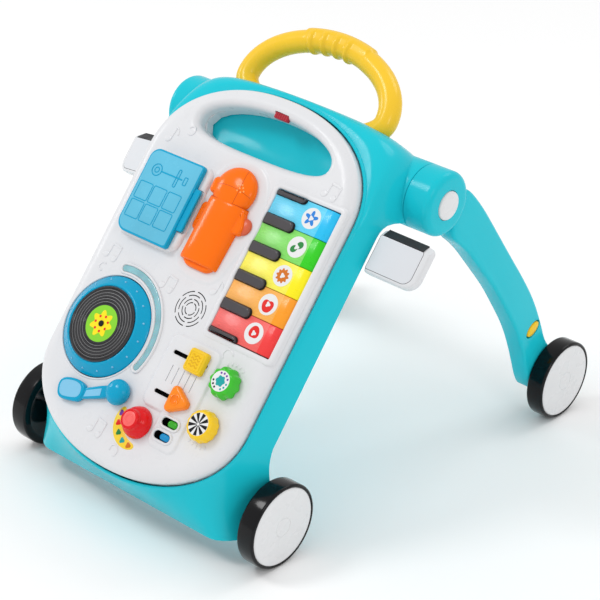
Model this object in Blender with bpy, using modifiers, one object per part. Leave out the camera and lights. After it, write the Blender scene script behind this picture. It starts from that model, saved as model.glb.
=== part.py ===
"""Baby walker: a push-along frame on four wheels with a lift-off music board.

Lengths are in millimetres and become metres through MM. World axes: +Z up, the music board
faces -Y, the push handle is on the +Y side. The board and the frame's front share a leaning
frame of their own: X across, Y up the slope, Z out of the board's face, with zero on the face.
"""
import math

import bmesh
import bpy
from mathutils import Matrix, Vector

MM = 0.001

# Stance
WHEEL_R = 48.0
TYRE_WIDTH = 21.8
FRONT_AXLE_Y = -216.3
REAR_AXLE_Y = 254.1
FRONT_WHEEL_X = 162.0
REAR_WHEEL_X = 187.1
HUB_R = 44.1
AXLE_R = 3.5

# Leaning frame of the music board
LEAN = math.radians(51.94)
FACE_Y = -222.2
FACE_Z = 184.6

# Outline of the board, in the leaning frame
HALF_W = 143.5
TOP_V, TOP_RISE, TOP_POWER = 200.0, 101.5, 2.2
BOTTOM_V, BOTTOM_DROP, BOTTOM_POWER = -36.0, 97.5, 2.1
QUARTER_STEPS = 10
EDGE_ROUND = 9.0
SPLIT_H = -16.0
BOARD_BACK = -28.0
SKIN = 2.5
GAP = 0.3

# Frame shell
RIM_HALF_W = 157.2
RIM_TOP_V = 314.0
RIM_BOTTOM_V = -149.0
RIM_TOP_POWER = 5.5
RIM_CORNER = 36.0
FRAME_WALL = 2.4
FLOOR_H = -28.6
LIP_H = -14.5
# How deep the frame's back edge lies along the slope: (place up the slope, height)
RIM_STATIONS = (
    (-149, -62), (-134, -82), (-120, -102), (-106, -109), (-92, -105), (-82, -90),
    (-70, -70), (-56, -56), (-44, -49), (-26, -44.5), (212, -44.5), (224, -52),
    (234, -74), (243, -100), (254, -117), (271, -123), (288, -117), (301, -100),
    (309, -78), (314, -66),
)

# Leg hinge
HINGE_Y, HINGE_Z = 14.9, 343.4
BOSS_R = 36.0
BOSS_X = 157.3
BOSS_INNER_X = 119.0
LEG_INNER_X, LEG_OUTER_X = 163.5, 186.5
HUB_FACE_X = 189.6
PIN_R = 12.0
CAP_R = 16.0
CAP_FACE_X = 191.9
# Leg edges in side view, from hinge to foot, measured from the hinge: (back, up)
LEG_REAR = ((34, 12), (66, -19), (100, -62), (132, -103), (164, -143), (190, -179), (210, -216),
            (224, -247), (244, -263), (256, -281), (255, -301), (240, -312))
LEG_FRONT = ((14, -43), (48, -70), (79, -105), (111, -141), (136, -175), (160, -209), (177, -242),
             (190, -273), (197, -290), (208, -307))
# Oval roll selector on each leg, measured from the hinge
SELECTOR_AT = (192.6, -217.8)
SELECTOR_TURN = math.radians(30)

# Handle, in the leaning frame
HANDLE_H = -50.0
HANDLE_V = 322.9
HANDLE_HALF_W = 98.5
HANDLE_RISE = 61.6
HANDLE_DROP = 36.0
HANDLE_R = 12.4
GRIP_SWELL = 1.10
GRIP_HALF_W = 44.0

# Side flaps
FLAP_HINGE_U, FLAP_HINGE_H = 161.5, -47.0
FLAP_LOW_V, FLAP_HIGH_V = 168.0, 218.0
FLAP_LENGTH, FLAP_THICK = 62.0, 14.0
FLAP_SPLAY = {"left": math.radians(25), "right": math.radians(5)}

# Piano
KEY_COUNT = 5
KEY_PITCH = 33.0
KEYS_LOW_V = 43.7
KEY_LEFT_U, KEY_RIGHT_U = 50.2, 134.0
KEY_AXIS_U, KEY_AXIS_H = 44.5, -5.6

# Controls on the board, (across, up the slope)
PLATTER_AT, PLATTER_R = (-74.4, 0.6), 56.5
RECORD_R = 42.3
LIGHT_R, LIGHT_WIDTH, LIGHT_FROM, LIGHT_TO = 66.4, 7.0, -22.0, 101.0
SPEAKER_AT, SPEAKER_R = (16.2, 55.8), 19.8
ARM_AT = (-15.5, -56.5)
MODE_KNOB_AT = (23.0, -75.0)
GREEN_KNOB_AT = (103.2, 1.8)
YELLOW_KNOB_AT = (102.6, -47.4)
KNOB_R, KNOB_H = 17.5, 14.0
SHAFT_R = 4.0
SQUARE_SLIDER_AT = (59.0, 8.6)
TRIANGLE_SLIDER_AT = (58.5, -36.2)
SLOT_LEFT_U, SLOT_RIGHT_U = 23.5, 72.0
SWITCH_SLOTS = (("green_switch", 61.5, -60.5), ("blue_switch", 59.5, -76.0))

# Doors on the board: left, right, low, high
BLUE_DOOR = (-119.0, -42.0, 101.0, 199.0)
MIC_DOOR = (-23.0, 30.0, 101.0, 176.0)
MIC_HEAD_AT, MIC_HEAD_R = (4.0, 188.0), 26.0

# Carry slot through the top of the board
CARRY_V, CARRY_HALF_W, CARRY_RISE, CARRY_DROP = 250.0, 92.0, 31.0, 19.0

# Battery bay in the back of the board
BAY = (-104.0, -36.0, 118.0, 180.0)
CELL_R, CELL_LENGTH = 7.0, 50.0

COLOURS = {
    "teal": ((0.10, 0.62, 0.70), 0.28), "white": ((0.86, 0.87, 0.88), 0.30),
    "yellow": ((0.93, 0.66, 0.08), 0.32), "black": ((0.015, 0.015, 0.018), 0.22),
    "blue": ((0.03, 0.42, 0.72), 0.30), "orange": ((0.95, 0.28, 0.02), 0.30),
    "red": ((0.82, 0.04, 0.06), 0.28), "green": ((0.10, 0.60, 0.08), 0.30),
    "lilac": ((0.72, 0.73, 0.80), 0.18), "grey": ((0.10, 0.10, 0.12), 0.35),
    "rubber": ((0.03, 0.03, 0.035), 0.70), "steel": ((0.60, 0.60, 0.62), 0.30),
    "board": ((0.03, 0.25, 0.10), 0.45), "aqua": ((0.35, 0.66, 0.72), 0.25),
    "dark_red": ((0.42, 0.03, 0.05), 0.35), "coral": ((0.90, 0.22, 0.20), 0.35),
    "sun": ((0.98, 0.82, 0.08), 0.35), "amber": ((0.97, 0.45, 0.10), 0.35),
    "leaf": ((0.28, 0.72, 0.18), 0.35), "sky": ((0.10, 0.62, 0.86), 0.35),
}


def remove_everything():
    for obj in list(bpy.data.objects):
        bpy.data.objects.remove(obj, do_unlink=True)


def new_collection(name):
    collection = bpy.data.collections.new(name)
    bpy.context.scene.collection.children.link(collection)
    return collection


def make_material(name):
    (red, green, blue), roughness = COLOURS[name]
    material = bpy.data.materials.new(name)
    material.use_nodes = True
    shader = material.node_tree.nodes["Principled BSDF"]
    shader.inputs["Base Color"].default_value = (red, green, blue, 1.0)
    shader.inputs["Roughness"].default_value = roughness
    shader.inputs["Metallic"].default_value = 1.0 if name == "steel" else 0.0
    return material


def metres(point):
    return Vector(point) * MM


def place(obj, parent=None, at=(0, 0, 0), turn=(0, 0, 0)):
    """Link an object to the parts and set where it sits on its parent."""
    PARTS.objects.link(obj)
    obj.location = metres(at)
    obj.rotation_euler = turn
    obj.parent = parent
    return obj


def empty(name, parent=None, at=(0, 0, 0), turn=(0, 0, 0)):
    return place(bpy.data.objects.new(name, None), parent, at, turn)


def finish_bmesh(mesh_work, name, parent, at):
    mesh = bpy.data.meshes.new(name)
    mesh_work.to_mesh(mesh)
    mesh_work.free()
    return place(bpy.data.objects.new(name, mesh), parent, at)


def box(name, low, high, parent=None, origin=None):
    """A box between two corners; its origin is its centre, or a given point."""
    low, high = Vector(low), Vector(high)
    centre = (low + high) / 2
    origin = Vector(origin) if origin else centre
    work = bmesh.new()
    bmesh.ops.create_cube(work, size=1.0)
    bmesh.ops.scale(work, vec=metres(high - low), verts=work.verts)
    bmesh.ops.translate(work, vec=metres(centre - origin), verts=work.verts)
    return finish_bmesh(work, name, parent, origin)


AXIS_TURN = {"X": Matrix.Rotation(math.pi / 2, 3, "Y"), "Y": Matrix.Rotation(-math.pi / 2, 3, "X"),
             "Z": Matrix.Identity(3)}


def cylinder(name, radius, low, high, axis, at, parent=None, steps=24):
    """A cylinder from low to high along an axis, through the point at."""
    work = bmesh.new()
    bmesh.ops.create_cone(work, cap_ends=True, segments=steps, radius1=radius * MM,
                          radius2=radius * MM, depth=(high - low) * MM)
    bmesh.ops.rotate(work, cent=(0, 0, 0), matrix=AXIS_TURN[axis], verts=work.verts)
    centre = Vector(at)
    centre["XYZ".index(axis)] = (low + high) / 2
    return finish_bmesh(work, name, parent, centre)


def turned(name, profile, parent=None, at=(0, 0, 0), turn=(0, 0, 0), steps=32):
    """A turned solid: a profile of (radius, height) run round its Z axis by a Screw modifier."""
    mesh = bpy.data.meshes.new(name)
    points = [(radius * MM, 0, height * MM) for radius, height in profile]
    count = len(points)
    closed = min(radius for radius, _ in profile) > 0
    edges = [(i, (i + 1) % count) for i in range(count if closed else count - 1)]
    mesh.from_pydata(points, edges, [])
    obj = place(bpy.data.objects.new(name, mesh), parent, at, turn)
    screw = obj.modifiers.new("turn", "SCREW")
    screw.steps = screw.render_steps = steps
    screw.use_merge_vertices = True
    screw.merge_threshold = 0.00001
    screw.use_smooth_shade = False
    return obj


def as_mesh(obj):
    """Swap a curve object for its mesh, with the caps welded on."""
    graph = bpy.context.evaluated_depsgraph_get()
    mesh = bpy.data.meshes.new_from_object(obj.evaluated_get(graph))
    work = bmesh.new()
    work.from_mesh(mesh)
    bmesh.ops.remove_doubles(work, verts=work.verts, dist=0.00001)
    work.to_mesh(mesh)
    work.free()
    name, parent = obj.name, obj.parent
    location, rotation = obj.location.copy(), obj.rotation_euler.copy()
    bpy.data.objects.remove(obj, do_unlink=True)
    swapped = bpy.data.objects.new(name, mesh)
    swapped.name = name
    return place(swapped, parent, location / MM, rotation)


def plate(name, points, low, high, parent=None, turn=(0, 0, 0), at=(0, 0, 0)):
    """A flat outline given thickness along Z, between low and high."""
    curve = bpy.data.curves.new(name, "CURVE")
    curve.dimensions = "2D"
    curve.fill_mode = "BOTH"
    curve.extrude = (high - low) / 2 * MM
    spline = curve.splines.new("POLY")
    spline.points.add(len(points) - 1)
    for target, (x, y) in zip(spline.points, points):
        target.co = (x * MM, y * MM, 0, 1)
    spline.use_cyclic_u = True
    middle = Matrix.Translation((0, 0, (low + high) / 2 * MM))
    obj = as_mesh(place(bpy.data.objects.new(name, curve), parent, at, turn))
    obj.data.transform(middle)
    return obj


def tube(name, points, radius, parent=None, swells=None, resolution=4):
    """A round bar along points; swells scales its thickness at each of them."""
    curve = bpy.data.curves.new(name, "CURVE")
    curve.dimensions = "3D"
    curve.bevel_depth = radius * MM
    curve.bevel_resolution = resolution
    curve.use_fill_caps = True
    spline = curve.splines.new("POLY")
    spline.points.add(len(points) - 1)
    for index, (target, point) in enumerate(zip(spline.points, points)):
        target.co = (*metres(point), 1)
        target.radius = swells[index] if swells else 1.0
    return as_mesh(place(bpy.data.objects.new(name, curve), parent))


def skin(name, rings, parent=None, close_low=True, close_high=True):
    """A loft: closed rings of points joined in turn, with end faces where asked."""
    work = bmesh.new()
    rows = [[work.verts.new(metres(point)) for point in ring] for ring in rings]
    for row, following in zip(rows, rows[1:]):
        for i, vert in enumerate(row):
            j = (i + 1) % len(row)
            work.faces.new((vert, row[j], following[j], following[i]))
    if close_low:
        work.faces.new(list(reversed(rows[0])))
    if close_high:
        work.faces.new(rows[-1])
    return finish_bmesh(work, name, parent, (0, 0, 0))


def bevel(obj, width, segments=2, angle=40):
    modifier = obj.modifiers.new("rounding", "BEVEL")
    modifier.width = width * MM
    modifier.segments = segments
    modifier.limit_method = "ANGLE"
    modifier.angle_limit = math.radians(angle)
    return obj


def combine(target, others, operation):
    """Cut the target with, or join it to, each of the other meshes."""
    for other in others:
        modifier = target.modifiers.new(other.name, "BOOLEAN")
        modifier.operation = operation
        modifier.solver = "EXACT"
        modifier.object = other
        other.hide_render = True
        other.display_type = "WIRE"
        PARTS.objects.unlink(other)
        CUTTERS.objects.link(other)
    return target


def cut(target, *others):
    return combine(target, others, "DIFFERENCE")


def join(target, *others):
    return combine(target, others, "UNION")


def paint(obj, colour):
    if colour not in bpy.data.materials:
        make_material(colour)
    obj.data.materials.clear()
    obj.data.materials.append(bpy.data.materials[colour])
    return obj


def resample(points, steps):
    """Points at even distances along a polyline, both ends kept."""
    lengths = [0.0]
    for one, two in zip(points, points[1:]):
        lengths.append(lengths[-1] + math.dist(one, two))
    result = []
    for step in range(steps + 1):
        wanted = lengths[-1] * step / steps
        index = min(max(i for i, length in enumerate(lengths) if length <= wanted), len(points) - 2)
        span = lengths[index + 1] - lengths[index]
        share = (wanted - lengths[index]) / span if span else 0.0
        one, two = points[index], points[index + 1]
        result.append(tuple(a + (b - a) * share for a, b in zip(one, two)))
    return result


def oval_quarter(half_width, rise, power, fine=60):
    """A quarter of a squared oval, from its side round to its end."""
    angles = [math.pi / 2 * i / fine for i in range(fine + 1)]
    return [(half_width * max(math.cos(a), 0) ** (2 / power), rise * math.sin(a) ** (2 / power))
            for a in angles]


def corner_quarter(half_width, rise, radius, fine=12):
    """A quarter of a rounded rectangle, from its side round to its end."""
    arc = [(half_width - radius + radius * math.cos(math.pi / 2 * i / fine),
            rise - radius + radius * math.sin(math.pi / 2 * i / fine)) for i in range(fine + 1)]
    return [(half_width, 0.0), *arc, (0.0, rise)]


def ring_from_quarters(top, top_v, bottom, bottom_v, steps):
    """A closed outline, symmetric left to right, from its two right-hand quarters."""
    upper = [(u, top_v + v) for u, v in resample(top, steps)]
    lower = [(u, bottom_v - v) for u, v in resample(bottom, steps)]
    right = list(reversed(lower)) + upper
    left = [(-u, v) for u, v in reversed(right[1:-1])]
    return right + left


def board_outline(offset=0.0, steps=QUARTER_STEPS):
    top = oval_quarter(HALF_W + offset, TOP_RISE + offset, TOP_POWER)
    bottom = oval_quarter(HALF_W + offset, BOTTOM_DROP + offset, BOTTOM_POWER)
    return ring_from_quarters(top, TOP_V, bottom, BOTTOM_V, steps)


def rim_outline(offset=0.0):
    top = oval_quarter(RIM_HALF_W + offset, RIM_TOP_V - TOP_V + offset, RIM_TOP_POWER)
    bottom = corner_quarter(RIM_HALF_W + offset, BOTTOM_V - RIM_BOTTOM_V + offset, RIM_CORNER)
    return ring_from_quarters(top, TOP_V, bottom, BOTTOM_V, QUARTER_STEPS)


def carry_outline(offset=0.0, steps=8):
    top = oval_quarter(CARRY_HALF_W + offset, CARRY_RISE + offset, 2.0)
    bottom = oval_quarter(CARRY_HALF_W + offset, CARRY_DROP + offset, 3.0)
    return ring_from_quarters(top, CARRY_V, bottom, CARRY_V, steps)


def at_height(outline, height):
    return [(u, v, height) for u, v in outline]


def rim_height(v):
    for (low_v, low_h), (high_v, high_h) in zip(RIM_STATIONS, RIM_STATIONS[1:]):
        if v <= high_v:
            share = min(max((v - low_v) / (high_v - low_v), 0), 1)
            return low_h + (high_h - low_h) * share
    return RIM_STATIONS[-1][1]


def dish_depth(u, v):
    """The floor of the frame dips under the carry slot."""
    return 11.0 * math.exp(-((u / 80) ** 2 + ((v - 254) / 30) ** 2) ** 2)


def arc_points(centre, radius, start, end, steps):
    cx, cy = centre
    angles = [math.radians(start + (end - start) * i / steps) for i in range(steps + 1)]
    return [(cx + radius * math.cos(a), cy + radius * math.sin(a)) for a in angles]


def band(centre, radius, width, start, end, steps):
    """A curved strip's outline with round ends."""
    inner, outer = radius - width / 2, radius + width / 2
    start_tip, end_tip = arc_points(centre, radius, start, end, 1)
    outside = arc_points(centre, outer, start, end, steps)
    end_cap = arc_points(end_tip, width / 2, end, end + 180, 4)[1:-1]
    inside = arc_points(centre, inner, end, start, steps)
    start_cap = arc_points(start_tip, width / 2, start + 180, start + 360, 4)[1:-1]
    return outside + end_cap + inside + start_cap


def slot_outline(centre, length, width, steps=6):
    """A straight slot along the first axis with round ends."""
    cx, cy = centre
    reach = (length - width) / 2
    right = arc_points((cx + reach, cy), width / 2, -90, 90, steps)
    left = arc_points((cx - reach, cy), width / 2, 90, 270, steps)
    return right + left


def scalloped(radius, depth, lobes, steps):
    points = []
    for i in range(steps):
        angle = 2 * math.pi * i / steps
        reach = radius - depth * (0.5 - 0.5 * math.cos(lobes * angle))
        points.append((reach * math.cos(angle), reach * math.sin(angle)))
    return points


def wall_share(turn, v):
    """How far out and how far back the wall is: straight low down, square-shouldered at the top."""
    power = 1.0 + 1.8 * min(max((v - 185.0) / 60.0, 0.0), 1.0)
    return math.sin(turn) ** (2 / power), 1 - max(math.cos(turn), 0.0) ** (2 / power)


def front_shell(board):
    """The frame's front: a floor for the board, a raised lip, and walls down to the back edge."""
    rings = []
    middle_v = 80.0
    for share in (0.25, 0.5, 0.72, 0.9):
        ring = [(u * share, middle_v + (v - middle_v) * share) for u, v in board_outline(1.5)]
        rings.append([(u, v, FLOOR_H - dish_depth(u, v)) for u, v in ring])
    rings.append([(u, v, FLOOR_H - dish_depth(u, v)) for u, v in board_outline(-2.5)])
    rings.append(at_height(board_outline(1.5), FLOOR_H + 4))
    rings.append(at_height(board_outline(1.5), LIP_H - 1.0))
    rings.append(at_height(board_outline(2.2), LIP_H))
    rings.append(at_height(board_outline(3.4), LIP_H))
    lip = board_outline(5.0)
    rings.append(at_height(lip, LIP_H - 2.5))
    rim = rim_outline()
    for turn in (math.pi / 2 * step / 6 for step in range(1, 7)):
        ring = []
        for (lip_u, lip_v), (rim_u, rim_v) in zip(lip, rim):
            out, down = wall_share(turn, lip_v)
            u = lip_u + (rim_u - lip_u) * out
            v = lip_v + (rim_v - lip_v) * out
            ring.append((u, v, (LIP_H - 2.5) * (1 - down) + rim_height(rim_v) * down))
        rings.append(ring)
    shell = skin("front_shell", list(reversed(rings)), board, close_low=False)
    solidify = shell.modifiers.new("wall", "SOLIDIFY")
    solidify.thickness = FRAME_WALL * MM
    solidify.offset = -1.0
    solidify.use_even_offset = False
    hinge_at = (0, HINGE_Y, HINGE_Z)
    axle_at = (0, FRONT_AXLE_Y, WHEEL_R)
    for side, sign in (("left", -1), ("right", 1)):
        inner, outer = sorted((sign * BOSS_INNER_X, sign * BOSS_X))
        boss = cylinder("boss_" + side, BOSS_R, inner, outer, "X", hinge_at, steps=32)
        join(shell, boss)
        wall_x = BOSS_X - 2.6
        inner, outer = sorted((sign * (BOSS_INNER_X - 30), sign * wall_x))
        cut(shell, cylinder("boss_core_" + side, BOSS_R - 3, inner, outer, "X", hinge_at))
        inner, outer = sorted((sign * (wall_x - 5), sign * (BOSS_X + 5)))
        cut(shell, cylinder("boss_bore_" + side, PIN_R + GAP, inner, outer, "X", hinge_at))
    cut(shell, cylinder("axle_way", AXLE_R + GAP, -200, 200, "X", axle_at, steps=16))
    cut(shell, tube("handle_way", handle_path(), HANDLE_R + GAP + 0.1, board))
    return paint(shell, "teal")


def rear_shell(board):
    """The cover that closes the frame's back, ruled across from side to side."""
    half_w = RIM_HALF_W - FRAME_WALL - 3.6
    stations = [v for v, _ in RIM_STATIONS if -149 < v < 230]
    stations += [60.0, 150.0, 228.0, 232.0, 250.0, 271.0, 288.0, 300.0, 307.0]
    rows = []
    for v in sorted(stations):
        reach = half_w if v < 230 else BOSS_INNER_X - 4
        corner = max(0.0, -112 - v)
        reach -= corner * corner / 60
        rows.append((reach, v, rim_height(v) + 2.0))
    work = bmesh.new()
    across = (-1.0, -0.5, 0.0, 0.5, 1.0)
    grid = [[work.verts.new(metres((reach * s, v, h))) for s in across] for reach, v, h in rows]
    for row, following in zip(grid, grid[1:]):
        for i in range(len(across) - 1):
            work.faces.new((row[i], following[i], following[i + 1], row[i + 1]))
    cover = finish_bmesh(work, "rear_shell", board, (0, 0, 0))
    solidify = cover.modifiers.new("wall", "SOLIDIFY")
    solidify.thickness = FRAME_WALL * MM
    solidify.offset = -1.0
    return paint(cover, "teal")


def handle_path(steps=24):
    """The handle's centre line: an arch that narrows again where it enters the frame."""
    low, high = math.radians(-62), math.radians(242)
    points = []
    for i in range(steps + 1):
        angle = low + (high - low) * i / steps
        rise = HANDLE_RISE if math.sin(angle) > 0 else HANDLE_DROP
        across = HANDLE_HALF_W * math.cos(angle)
        points.append((across, HANDLE_V + rise * math.sin(angle), HANDLE_H))
    return points


def handle(board):
    path = handle_path()
    swells = [GRIP_SWELL if abs(u) < GRIP_HALF_W and v > HANDLE_V else 1.0 for u, v, _ in path]
    return paint(tube("handle", path, HANDLE_R, board, swells), "yellow")


def leg(side, sign):
    """A leg: blade and hinge hub in one, hollow towards the middle of the walker."""
    name = "leg_" + side
    outline = list(LEG_REAR) + list(reversed(LEG_FRONT))
    inner_x, outer_x = sorted((sign * LEG_INNER_X, sign * LEG_OUTER_X))
    stand = (math.pi / 2, 0, math.pi / 2)
    hinge = empty(name + "_hinge", at=(0, HINGE_Y, HINGE_Z))
    blade = plate(name, outline, inner_x, outer_x, hinge, stand)
    bevel(blade, 4.0, 2, 50)
    pocket = [(y, z) for y, z in shrink(outline, 4.5) if math.hypot(y, z) > BOSS_R + 1]
    low, high = sorted((sign * (LEG_INNER_X - 5), sign * (LEG_OUTER_X - 3)))
    cut(blade, plate(name + "_pocket", pocket, low, high, hinge, stand))
    low, high = sorted((sign * (BOSS_X - 5), sign * (HUB_FACE_X + 5)))
    cut(blade, cylinder(name + "_hub_way", BOSS_R - 4, low, high, "X", (0, 0, 0), hinge, 36))
    hub_low, hub_high = BOSS_X + GAP + 0.1, HUB_FACE_X
    bore, seat = PIN_R + GAP, CAP_R + GAP
    hub = [(BOSS_R - 7, hub_high), (BOSS_R - 2.2, hub_high - 2.2), (BOSS_R, hub_high - 7),
           (BOSS_R, hub_low), (bore, hub_low), (bore, hub_high - 8), (seat, hub_high - 8),
           (seat, hub_high)]
    face_out = (0, sign * math.pi / 2, 0)
    join(blade, turned(name + "_hub", hub, hinge, turn=face_out, steps=32))
    axle_at = (0, REAR_AXLE_Y - HINGE_Y, WHEEL_R - HINGE_Z)
    low, high = sorted((sign * (LEG_OUTER_X - 18), sign * (LEG_OUTER_X + 5)))
    post_low, post_high = sorted((sign * (LEG_OUTER_X - 17), sign * (LEG_OUTER_X - 2)))
    join(blade, cylinder(name + "_axle_post", 9.0, post_low, post_high, "X", axle_at, hinge))
    cut(blade, cylinder(name + "_axle_bore", AXLE_R + 0.1, low, high, "X", axle_at, hinge, 16))
    low, high = sorted((sign * (LEG_OUTER_X - 5), sign * (LEG_OUTER_X + 5)))
    cut(blade, plate(name + "_selector_seat", selector_outline(GAP + 0.7), low, high, hinge, stand))
    return paint(blade, "teal")


def shrink(points, distance):
    """An outline moved inwards by a distance, corner by corner."""
    count = len(points)
    area = 0.0
    for (x, y), (next_x, next_y) in zip(points, points[1:] + points[:1]):
        area += x * next_y - next_x * y
    facing = 1 if area > 0 else -1
    result = []
    for i in range(count):
        before = Vector(points[i - 1])
        here = Vector(points[i])
        after = Vector(points[(i + 1) % count])
        one = (here - before).normalized()
        two = (after - here).normalized()
        one_in = Vector((-one.y, one.x)) * facing
        two_in = Vector((-two.y, two.x)) * facing
        mitre = one_in + two_in
        mitre *= distance / max(mitre.dot(one_in), 0.35)
        result.append(tuple(here + mitre))
    return result


def leg_cover(side, sign):
    """The flat cover that closes a leg's hollow on the inside."""
    name = "leg_cover_" + side
    outline = list(LEG_REAR) + list(reversed(LEG_FRONT))
    shape = [(y, z) for y, z in shrink(outline, 4.9) if math.hypot(y, z) > BOSS_R + 1]
    low, high = sorted((sign * (LEG_INNER_X + 0.4), sign * (LEG_INNER_X + 2.6)))
    hinge = bpy.data.objects["leg_" + side + "_hinge"]
    return paint(plate(name, shape, low, high, hinge, (math.pi / 2, 0, math.pi / 2)), "teal")


def selector_outline(offset=0.0):
    half_length, half_width = 11.5 + offset, 6.2 + offset
    spin = Matrix.Rotation(SELECTOR_TURN, 2)
    points = []
    for i in range(20):
        angle = 2 * math.pi * i / 20
        point = spin @ Vector((half_length * math.cos(angle), half_width * math.sin(angle)))
        points.append(tuple(point + Vector(SELECTOR_AT)))
    return points


def selector(side, sign):
    """The oval two-way button on a leg that makes the rear wheel drag or roll free."""
    hinge = bpy.data.objects["leg_" + side + "_hinge"]
    low, high = sorted((sign * (LEG_OUTER_X - 4.6), sign * (LEG_OUTER_X + 0.8)))
    stand = (math.pi / 2, 0, math.pi / 2)
    button = plate("roll_selector_" + side, selector_outline(-1.4), low, high, hinge, stand)
    return paint(bevel(button, 0.8, 1), "yellow")


def hinge_parts(side, sign):
    """The hinge pin and the round lock button in each hub."""
    hinge = bpy.data.objects["leg_" + side + "_hinge"]
    face_out = (0, sign * math.pi / 2, 0)
    pin_end = HUB_FACE_X - 8.5
    pin = [(PIN_R, pin_end), (PIN_R, BOSS_X - 3.0), (PIN_R + 3, BOSS_X - 3.0), (PIN_R + 3, 144.0),
           (4.6, 144.0), (4.6, pin_end)]
    paint(turned("hinge_pin_" + side, pin, hinge, turn=face_out, steps=24), "steel")
    cap_low = HUB_FACE_X - 4.2
    cap = [(0, CAP_FACE_X), (CAP_R - 2, CAP_FACE_X), (CAP_R, CAP_FACE_X - 1.6), (CAP_R, cap_low),
           (4.2, cap_low), (4.2, 161.6), (0, 161.6)]
    paint(turned("lock_button_" + side, cap, hinge, turn=face_out, steps=32), "white")


def wheel(name, axle_y, inner_x, sign):
    """A black tyre and a white hub; the profile's height runs outwards along the axle."""
    at = (0, axle_y, WHEEL_R)
    face_out = (0, sign * math.pi / 2, 0)
    outer_x = inner_x + TYRE_WIDTH
    tyre = [(WHEEL_R - 1.8, outer_x), (WHEEL_R, outer_x - 2.4), (WHEEL_R, inner_x + 2.4),
            (WHEEL_R - 1.8, inner_x), (40.0, inner_x), (40.0, outer_x - 3.0),
            (HUB_R + GAP, outer_x - 3.0), (HUB_R + GAP, outer_x)]
    paint(turned("tyre_" + name, tyre, at=at, turn=face_out, steps=36), "black")
    bore = AXLE_R + 0.05
    hub = [(0, outer_x + 0.4), (HUB_R - 1, outer_x), (HUB_R, outer_x - 0.9), (HUB_R, outer_x - 2.7),
           (39.7, outer_x - 2.7), (39.7, inner_x + 1.0), (37.2, inner_x + 1.0), (37.2, outer_x - 5.0),
           (9.0, outer_x - 5.0), (9.0, inner_x - 0.4), (bore, inner_x - 0.4),
           (bore, outer_x - 3.4), (0, outer_x - 3.4)]
    paint(turned("hub_" + name, hub, at=at, turn=face_out, steps=24), "white")


def axles():
    front_reach = FRONT_WHEEL_X + TYRE_WIDTH - 3.8
    rod = cylinder("front_axle", AXLE_R, -front_reach, front_reach, "X",
                   (0, FRONT_AXLE_Y, WHEEL_R), steps=16)
    paint(rod, "steel")
    for side, sign in (("left", -1), ("right", 1)):
        low, high = sorted((sign * (LEG_OUTER_X - 17.6), sign * (REAR_WHEEL_X + TYRE_WIDTH - 3.8)))
        stub = cylinder("rear_axle_" + side, AXLE_R, low, high, "X",
                        (0, REAR_AXLE_Y, WHEEL_R), steps=16)
        paint(stub, "steel")


def side_flap(side, sign, board):
    """A fold-out flap: a white shell, a glossy face plate and a rubber strip on its top edge."""
    hinge = empty("flap_hinge_" + side, board, (sign * FLAP_HINGE_U, 0, FLAP_HINGE_H),
                  (0, sign * FLAP_SPLAY[side], 0))

    def span(near, far):
        return sorted((sign * near, sign * far))

    low_u, high_u = span(0.6, FLAP_LENGTH)
    shell = box("side_flap_" + side, (low_u, FLAP_LOW_V, -FLAP_THICK / 2),
                (high_u, FLAP_HIGH_V, FLAP_THICK / 2), hinge, origin=(0, 0, 0))
    bevel(shell, 4.0, 3)
    low_u, high_u = span(2.0, FLAP_LENGTH - 8)
    cut(shell, box("face_seat_" + side, (low_u, FLAP_LOW_V + 7, FLAP_THICK / 2 - 1.4),
                   (high_u, FLAP_HIGH_V - 5.2, FLAP_THICK), hinge))
    face = box("flap_face_" + side, (low_u + GAP, FLAP_LOW_V + 7 + GAP, FLAP_THICK / 2 - 1.1),
               (high_u - GAP, FLAP_HIGH_V - 5.2 - GAP, FLAP_THICK / 2 + 0.3), hinge,
               origin=(0, 0, 0))
    paint(bevel(face, 0.4, 1), "lilac")
    low_u, high_u = span(6.0, FLAP_LENGTH - 7)
    cut(shell, box("pad_seat_" + side, (low_u, FLAP_HIGH_V - 2.5, -3.6),
                   (high_u, FLAP_HIGH_V + 5, 4.0), hinge))
    pad = box("flap_pad_" + side, (low_u + GAP, FLAP_HIGH_V - 2.2, -3.3),
              (high_u - GAP, FLAP_HIGH_V + 0.9, 3.7), hinge, origin=(0, 0, 0))
    paint(bevel(pad, 0.6, 1), "rubber")
    return paint(shell, "white")


def cavity_outline(offset):
    """The board's inside, stopped short of the carry slot."""
    limit = CARRY_V - CARRY_DROP - 8
    return [(u, min(v, limit)) for u, v in board_outline(offset)]


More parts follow.
